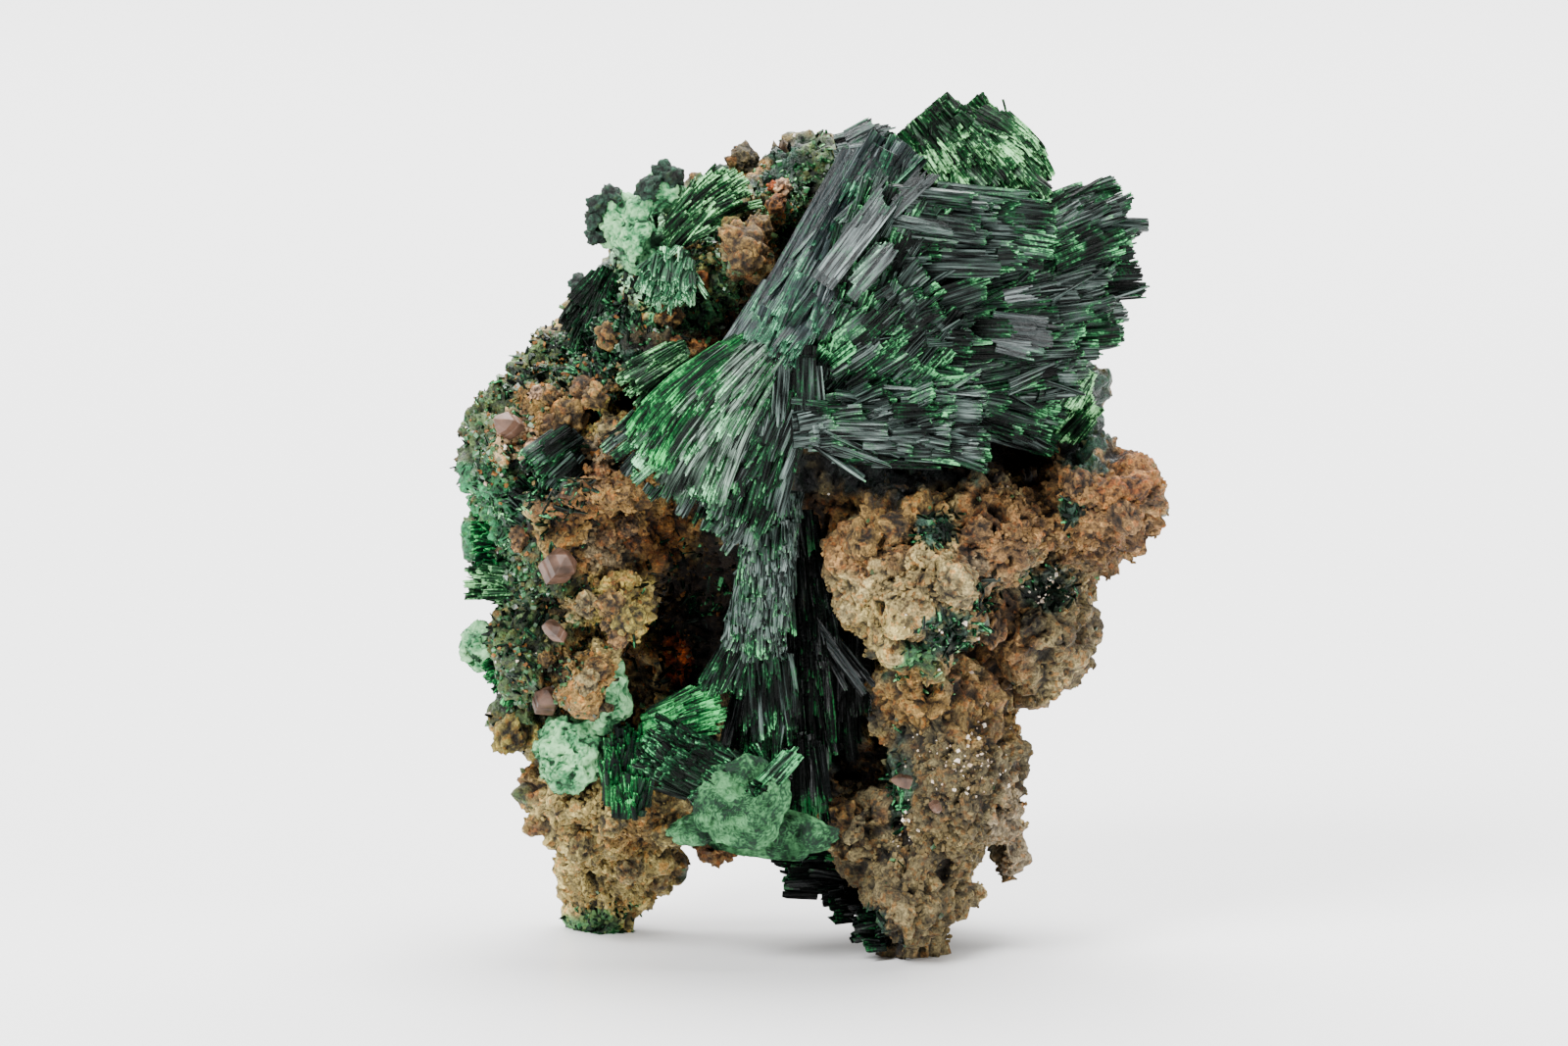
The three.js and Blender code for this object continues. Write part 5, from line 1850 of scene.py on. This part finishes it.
@dataclass
class QuartzCrystal:
    """One stubby, uneven six-sided quartz crystal with an off-centre point."""

    node: str
    at: Triple
    half: float
    long: float
    way: Triple
    seed: int
    finish: QuartzFinish

    RINGS = ((0.0, 1.0), (0.3, 1.03), (0.34, 0.95), (0.6, 1.0), (0.82, 0.62), (1.0, 0.08))

    def build(self) -> bpy.types.Object:
        """Return the crystal's object: rings of six corners carried along its axis."""
        chance = np.random.default_rng(self.seed)
        axis = unit(np.array(self.way))
        side = unit(np.cross(axis, np.array([0.0, 0.3, 1.0])))
        other = np.cross(axis, side)
        angle = np.arange(6) * math.pi / 3.0 + chance.uniform(-0.34, 0.34, 6)
        uneven = 1.0 + chance.uniform(-0.34, 0.14, 6)
        share = np.array([ring[0] for ring in self.RINGS])
        radius = np.array([ring[1] for ring in self.RINGS])[:, None] * uneven[None] * self.half
        spokes = np.cos(angle)[:, None] * side + np.sin(angle)[:, None] * other
        lean = 0.45 * self.half * np.maximum(share - 0.6, 0.0)[:, None, None] * (side + 0.6 * other)
        middle = place(*self.at) + (share * self.long)[:, None, None] * axis + lean
        points = middle + radius[..., None] * spokes[None]
        last = 6 * (len(share) - 1)
        ends = [
            [3, 2, 1, 0],
            [5, 4, 3, 0],
            [last, last + 1, last + 2, last + 3],
            [last, last + 3, last + 4, last + 5],
        ]
        faces = np.concatenate([wall_faces(len(share), 6), ends])
        thing = make_object(self.node + "_crystal", points.reshape(-1, 3), faces, {}, soft=False)
        edge = thing.modifiers.new("edge", "BEVEL")
        edge.width = 0.08 * MM
        edge.segments = 2
        thing.data.materials.append(self.finish.material())
        finish_piece(thing, "quartz", (self.node,))
        return thing


QUARTZ = (
    ("quartz_1", (-30.2, 53.0, -10.6), 1.3, 3.2, (-0.7, -0.8, 0.5)),
    ("quartz_2", (-26.3, 38.6, -14.0), 1.8, 4.0, (0.45, -0.8, 0.6)),
    ("quartz_3", (-25.8, 32.2, -15.0), 1.1, 2.7, (-0.5, -0.8, 0.6)),
    ("quartz_4", (-27.4, 24.8, -8.0), 1.3, 3.2, (0.2, -0.8, 0.75)),
    ("quartz_5", (9.6, 17.2, -14.3), 0.7, 2.2, (-1, -0.6, 0.3)),
    ("quartz_6", (12.2, 15.0, -15.3), 0.65, 2.0, (0.1, -1, -0.2)),
)


@dataclass
class Nodules:
    """Rounded nodules that sit on the rock, each with ridges that run out from its middle."""

    name: str
    lumps: tuple[tuple[float, float, float, Mineral], ...]
    finish: RockFinish
    seed: int = 701
    rows: int = 22
    columns: int = 32

    def build(self, ground: Ground) -> bpy.types.Object:
        """Return the nodules as one object.

        Each is a ball on a grid of latitude and longitude. Its radius is 1, plus a folded noise
        of the direction, plus finer noise that is stretched from pole to pole as ridges.
        """
        chance = np.random.default_rng(self.seed)
        right, up, facing = ground.front()
        latitude = np.linspace(0.02, math.pi - 0.02, self.rows)[:, None]
        longitude = np.linspace(0.0, 2.0 * math.pi, self.columns, endpoint=False)[None, :]
        circle = [np.sin(latitude) * np.cos(longitude), np.sin(latitude) * np.sin(longitude)]
        ball = np.stack([*circle, np.cos(latitude) + 0 * longitude], axis=-1).reshape(-1, 3)
        lids = lid_faces(self.columns)
        faces = np.concatenate([ring_faces(self.rows, self.columns), lids, (len(ball) - 1) - lids])
        pieces, colours, reliefs = [], [], []
        for number, (at_right, at_up, size, mineral) in enumerate(self.lumps):
            near = ((right - at_right) ** 2 + (up - at_up) ** 2 < 0.8) & (facing > 0.0)
            if not near.any():
                continue
            spot = ground.points[near][np.argmin(ground.points[near][:, 1])]
            seed = self.seed + 17 * number
            bulge = np.abs(rough_noise(ball + number, 1.1, 2, seed))
            pole = unit(chance.normal(size=3))
            around = ball * np.array([3.2, 3.2, 0.8]) + number
            ridges = noise(around, 0.42, seed + 5)
            fine = rough_noise(ball * size + number, 0.7, 3, seed + 9)
            radius = size * (0.76 + 0.55 * bulge + 0.2 * ridges) + 0.16 * fine
            shape = ball * radius[:, None] * chance.uniform(0.8, 1.15, 3)
            helper = unit(np.cross(pole, np.array([0.3, 1.0, 0.2])))
            turn = np.stack([helper, np.cross(pole, helper), pole])
            pieces.append(shape @ turn + spot + np.array([0.0, 0.25 * size, 0.0]))
            # Painted light and shade: each nodule's tint is lighter on its bulges and ridges and darker in
            # its folds, and its relief darkens the folds further.
            light, dark = mineral.tones()
            share = np.clip(0.35 + 0.9 * bulge + 0.35 * ridges + 0.2 * fine, 0.0, 1.0)
            colours.append(dark + (light - dark) * share[:, None])
            reliefs.append(np.clip(0.2 + 0.4 * bulge + 0.4 * ridges + 0.3 * fine, 0.0, 0.5))
        each = len(ball)
        all_faces = np.concatenate([faces + each * k for k in range(len(pieces))])
        relief = np.concatenate(reliefs)
        thing = make_object(
            self.name,
            keep_in_box(np.concatenate(pieces)),
            all_faces,
            {"relief": relief, "gloss": np.full(len(relief), 0.1)},
            np.concatenate(colours),
        )
        thing.data.materials.append(self.finish.material())
        finish_piece(thing, "matrix", ())
        return thing


NODULES = (
    (-21.4, 63.1, 1.3, Mineral.OCHRE), (-15.1, 64.3, 1.6, Mineral.OCHRE),
    (-16.4, 65.8, 1.1, Mineral.GREY_TAN), (-19.1, 59.3, 1, Mineral.GREY_TAN),
    (-13.6, 60.8, 1.7, Mineral.RUST), (-11.9, 60.2, 1.2, Mineral.OCHRE), (-16.1, 56.8, 1.7, Mineral.RUST),
    (-23.4, 57.8, 1.5, Mineral.RED_BROWN), (-24.6, 54.8, 1.9, Mineral.OCHRE),
    (-22.9, 55.8, 1.4, Mineral.OCHRE), (-26.4, 53.8, 1.5, Mineral.RED_BROWN),
    (-28.1, 57.3, 1.1, Mineral.PEACH), (-25.9, 56.4, 1.1, Mineral.OCHRE),
    (-21.4, 53.3, 1.7, Mineral.GREY_TAN), (-28.3, 51.6, 1.3, Mineral.PEACH),
    (-30.4, 42, 1.4, Mineral.RED_BROWN), (-19.2, 43, 1.5, Mineral.RED_BROWN),
    (-21.3, 41.4, 1.2, Mineral.RED_BROWN), (-17.8, 41.2, 1.1, Mineral.RUST),
    (-23.4, 34.9, 1.3, Mineral.GREY_TAN), (-20.6, 35.8, 1.8, Mineral.OCHRE), (-18, 33.6, 2, Mineral.OLIVE),
    (-21.2, 33, 1.4, Mineral.OCHRE), (-22.6, 29.3, 1.6, Mineral.OCHRE),
    (-20.5, 31.2, 1.2, Mineral.RED_BROWN), (-23.8, 27, 1.4, Mineral.GREY_TAN),
    (-27, 30.2, 1, Mineral.OCHRE), (-7.6, 71.8, 2.3, Mineral.OCHRE), (-6.4, 69.4, 1.8, Mineral.OCHRE),
    (-5, 73.4, 1.8, Mineral.OCHRE), (-8, 74.2, 1, Mineral.OLIVE), (-3.4, 75.4, 1.2, Mineral.RUST),
    (-2.6, 77.8, 0.9, Mineral.PEACH), (-4.6, 77.6, 0.8, Mineral.ORANGE), (-7, 81.4, 1.5, Mineral.KHAKI),
    (-11, 67.8, 0.9, Mineral.RUST), (-9.6, 78.8, 1.6, Mineral.DARK_GREEN),
    (-11.4, 78, 1.2, Mineral.DARK_GREEN), (-22.8, 70.4, 1.2, Mineral.OCHRE),
    (3.2, 14.2, 2.3, Mineral.OCHRE), (1.6, 11.4, 1.2, Mineral.OLIVE_BROWN), (4.4, 42, 1.9, Mineral.OCHRE),
    (7.4, 43.4, 2.2, Mineral.OCHRE), (14.6, 37, 2.2, Mineral.GREY_TAN),
    (18.6, 32.6, 1.9, Mineral.RED_BROWN), (22.6, 33.6, 1.7, Mineral.KHAKI),
    (16.8, 43, 1.8, Mineral.RED_BROWN), (30.6, 44.2, 2, Mineral.RED_BROWN),
    (26, 47.6, 1.9, Mineral.RED_BROWN), (33, 47, 1.6, Mineral.RUST), (-20.6, 12.4, 1.9, Mineral.OLIVE_TAN),
    (-24, 9.6, 1.8, Mineral.OLIVE_TAN), (-19, 7.6, 1.7, Mineral.GREY_TAN),
    (-15.6, 11, 1.4, Mineral.OLIVE_TAN), (-30.8, 21, 2, Mineral.OLIVE),
)


@dataclass
class Needles:
    """Thin crystal needles that stand in tufts on the rock."""

    name: str
    finish: BladeFinish
    long: Pair
    wide: Pair
    green: float
    tone: float
    seed: int
    spills: tuple[Spill, ...]

    def build(self, ground: Ground) -> bpy.types.Object:
        """Return the needles as one object: four-sided bars, each on a point of the rock."""
        chance = np.random.default_rng(self.seed)
        chosen = np.concatenate([spill.choose(ground, chance, 1.2, -0.2) for spill in self.spills])
        count = len(chosen)
        tuft = np.stack([noise(ground.points[chosen], 2.2, self.seed + k) for k in (1, 2, 3)], axis=-1)
        way = unit(0.22 * ground.normals[chosen] + 2.2 * tuft + 0.3 * chance.normal(size=(count, 3)))
        side = unit(np.cross(way, ground.normals[chosen] + 0.3 * chance.normal(size=(count, 3))))
        other = np.cross(way, side)
        length = chance.uniform(*self.long, count)
        half = chance.uniform(*self.wide, count) / 2.0
        share = np.array([-0.5, 0.3, 1.0])[None, :, None, None] * length[:, None, None, None] * 0.66
        shrink = np.array([1.0, 1.0, 0.6])[None, :, None, None]
        across = BAR_CORNERS[None, None, :, :1] * half[:, None, None, None] * shrink
        through = 0.45 * BAR_CORNERS[None, None, :, 1:] * half[:, None, None, None] * shrink
        points = (
            ground.points[chosen][:, None, None, :]
            + share * way[:, None, None, :]
            + across * side[:, None, None, :]
            + through * other[:, None, None, :]
        )
        faces = bar_faces(3, count)
        numbers = {
            "tone": np.repeat(self.tone + 0.3 * chance.normal(size=count), 12),
            "green": np.repeat(self.green + 0.25 * chance.normal(size=count), 12),
            "tip": np.tile(np.repeat([0.0, 0.2, 1.0], 4), count),
        }
        shift = chance.uniform(0.0, 50.0, (count, 1, 1, 1))
        chart = np.concatenate([across + shift, share + shift + 0 * across], axis=-1).reshape(-1, 2)
        points = keep_in_box(points.reshape(-1, 3))
        thing = make_object(self.name, points, faces, numbers, chart=chart, soft=False)
        thing.data.materials.append(self.finish.material())
        finish_piece(thing, "green_blade", ())
        return thing


@dataclass
class Studio:
    """The pale floor, the soft lights and the camera at the photograph's angle."""

    aim: Triple = (-3.1, 43.45, 0.0)
    distance: float = 1200.0
    seen_width: float = 160.0

    def floor(self) -> bpy.types.Object:
        """Return a pale, flat floor that is wide enough to fill the picture from every side."""
        points = np.array([(x, y, -0.02) for x, y in product((-3200.0, 3200.0), repeat=2)])
        thing = make_object("floor", points, np.array([[0, 2, 3, 1]]), {})
        sheet = ShaderSheet("pale floor")
        sheet.shader.inputs["Base Color"].default_value = (0.9, 0.9, 0.9, 1.0)
        sheet.shader.inputs["Roughness"].default_value = 0.22
        sheet.shader.inputs["Specular IOR Level"].default_value = 0.35
        thing.data.materials.append(sheet.material)
        return thing

    def lamp(
        self, name: str, at: Triple, size: Pair, power: float, target: Triple = (0.0, 0.0, 45.0)
    ) -> None:
        """Add a soft rectangular light that looks at the specimen, or at another target.

        Args:
            name: The light's name.
            at: Its place in millimetres.
            size: Its width and height.
            power: Its power in watts.
            target: The place that it looks at.
        """
        data = bpy.data.lights.new(name, "AREA")
        data.shape = "RECTANGLE"
        data.size, data.size_y = size[0] * MM, size[1] * MM
        data.energy = power
        lamp = bpy.data.objects.new(name, data)
        lamp.location = Vector(at) * MM
        aim = Vector(target) * MM - lamp.location
        lamp.rotation_euler = aim.to_track_quat("-Z", "Y").to_euler()
        bpy.context.scene.collection.objects.link(lamp)

    def build(self) -> None:
        """Set the floor, the lights, the surroundings and the camera."""
        self.floor()
        self.lamp("key light", (-380.0, -520.0, 560.0), (300.0, 300.0), 17.0)
        self.lamp("fill light", (560.0, -480.0, 260.0), (260.0, 420.0), 5.0)
        self.lamp("top light", (60.0, 60.0, 640.0), (420.0, 320.0), 9.0)
        self.lamp("backdrop light", (0.0, 900.0, 900.0), (2200.0, 900.0), 110.0, (0.0, 1000.0, 0.0))
        world = bpy.data.worlds.new("studio")
        world.use_nodes = True
        world.node_tree.nodes["Background"].inputs["Color"].default_value = (1.0, 1.0, 1.0, 1.0)
        world.node_tree.nodes["Background"].inputs["Strength"].default_value = 0.24
        bpy.context.scene.world = world
        camera_data = bpy.data.cameras.new("camera")
        camera_data.sensor_width = 36.0
        camera_data.lens = 36.0 * self.distance / self.seen_width
        camera_data.clip_end = 100.0
        camera = bpy.data.objects.new("camera", camera_data)
        aim = Vector(place(*self.aim)) * MM
        back = Vector((0.0, -math.cos(LOOK_DOWN), math.sin(LOOK_DOWN)))
        camera.location = aim + back * self.distance * MM
        camera.rotation_euler = (-back).to_track_quat("-Z", "Y").to_euler()
        bpy.context.scene.collection.objects.link(camera)
        bpy.context.scene.camera = camera


DARK_LUMPS = (
    (-22.2, 76.2, 1.1, Mineral.DARK_GREEN),
    (-23, 74.4, 1.2, Mineral.DARK_GREEN),
    (-22.8, 72.4, 1.2, Mineral.DARK_GREEN),
    (-20.4, 77.4, 1.2, Mineral.DARK_GREEN),
    (-17.4, 77.8, 1.3, Mineral.DARK_GREEN),
    (-15.4, 79.6, 1.3, Mineral.DARK_GREEN),
    (-13.8, 79, 1.2, Mineral.DARK_GREEN),
    (-24.2, 68, 1.2, Mineral.DARK_GREEN),
)

NEEDLES = (
    Needles("dark_needles", finish=DEEP_BLADES, long=(0.6, 2), wide=(0.16, 0.5), green=0, tone=0.3,
            seed=801, spills=(
        Spill(-21, 61.5, 6, 4, 460), Spill(-27, 58, 5, 3.5, 260), Spill(-29, 30, 6, 7, 320),
        Spill(-28, 36, 5, 5, 260), Spill(-14, 67, 4, 4, 200), Spill(-19.5, 66, 3, 3, 220),
        Spill(-27, 47.5, 4, 4, 260), Spill(-12, 31, 5, 9, 300), Spill(16.6, 35.6, 1.6, 2.6, 160),
        Spill(13.4, 32.2, 3, 2.2, 220), Spill(12.6, 43, 2, 1.6, 140), Spill(25.9, 44.8, 1, 2, 90),
        Spill(23.8, 36.8, 2.4, 1.8, 120), Spill(8.6, 16, 1, 5, 120), Spill(5.4, 2, 1.6, 1.8, 60),
    )),
    Needles("green_needles", finish=GREEN_BLADES, long=(0.4, 1.2), wide=(0.14, 0.4), green=0.14, tone=0.4,
            seed=811, spills=(
        Spill(-32.5, 52, 4, 6, 260), Spill(-33, 44, 4, 5, 400), Spill(-31, 37.5, 5, 2.4, 260),
        Spill(-2, 75.5, 5, 5, 480), Spill(3, 78.5, 4, 4, 400), Spill(-11.5, 72, 3, 5, 300),
        Spill(12, 29, 3, 2.6, 160), Spill(-22, 1.8, 4, 2, 200),
    )),
)

GRAINS = (
    Grains("rock_crumbs", finish=GrainFinish("rock crumbs", 0.9, 0.3), everywhere=2000, size=(0.14, 0.42),
           light="a8864c", dark="3e2a12", own_colour=0.85, seed=301, spills=(
        Spill(9.5, 37, 8, 9, 1000), Spill(26, 44, 9, 7, 1000), Spill(14, 14, 8, 13, 1500),
        Spill(-21, 10, 8, 9, 900), Spill(-20, 38, 9, 10, 1300), Spill(-24, 53, 9, 7, 900),
    )),
    Grains("green_grains", finish=GrainFinish("green grains", 0.4, 0.5), everywhere=500, size=(0.14, 0.5),
           light="2c6a3c", dark="08190f", own_colour=0.2, seed=302, spills=(
        Spill(-32, 52, 5, 6, 500), Spill(-28, 29, 6, 6, 700), Spill(-31, 38, 5, 3, 400),
        Spill(-12, 66, 6, 5, 500), Spill(-2, 75, 5, 5, 600), Spill(-22, 62, 6, 4, 400),
    )),
    Grains("ochre_grains", finish=GrainFinish("ochre grains", 0.85, 0.3), everywhere=200, size=(0.12, 0.42),
           light="8a5c2c", dark="4c2c10", own_colour=0, seed=304, spills=(
        Spill(-22, 53, 9, 8, 260), Spill(-28, 32, 7, 8, 200), Spill(-5, 73, 6, 7, 160),
        Spill(-14, 66, 6, 5, 120), Spill(-32, 52, 4, 6, 160), Spill(-27, 58, 5, 3.5, 160),
        Spill(-16, 30, 6, 9, 150),
    )),
    Grains("white_grains", finish=GrainFinish("white grains", 0.25, 0.6), everywhere=60, size=(0.1, 0.36),
           light="e8dccb", dark="b0967c", own_colour=0, seed=303, spills=(
        Spill(14.6, 19, 4.4, 4.6, 150), Spill(13, 32, 4.6, 3.4, 50), Spill(23.8, 36.6, 2, 1.6, 70),
        Spill(9, 13, 2, 3, 24), Spill(-32, 50, 4, 6, 30), Spill(-28, 28, 5, 6, 30),
    )),
)


def main() -> None:
    """Build every piece in order and report each one."""
    ground = Matrix().build()
    for spray in SPRAYS:
        spray.build()
    for thatch in THATCHES:
        thatch.build()
    for flaky in FLAKY_SHEETS:
        flaky.build()
    covered = ground
    for node, seed in (("top_crust", 401), ("low_crust", 421), ("side_crust", 441)):
        covered = covered.joined(Crust(node, seed).build())
    nodule_finish = RockFinish("limonite nodules")
    Nodules("nodules", NODULES, nodule_finish).build(covered)
    Nodules("dark_lumps", DARK_LUMPS, nodule_finish, 751).build(covered)
    for needles in NEEDLES:
        needles.build(ground)
    quartz_finish = QuartzFinish()
    for seed, (node, at, half, long, way) in enumerate(QUARTZ):
        QuartzCrystal(node, at, half, long, way, 501 + seed, quartz_finish).build()
    for grains in GRAINS:
        grains.build(ground)
    Studio().build()


if __name__ == "__main__":
    main()
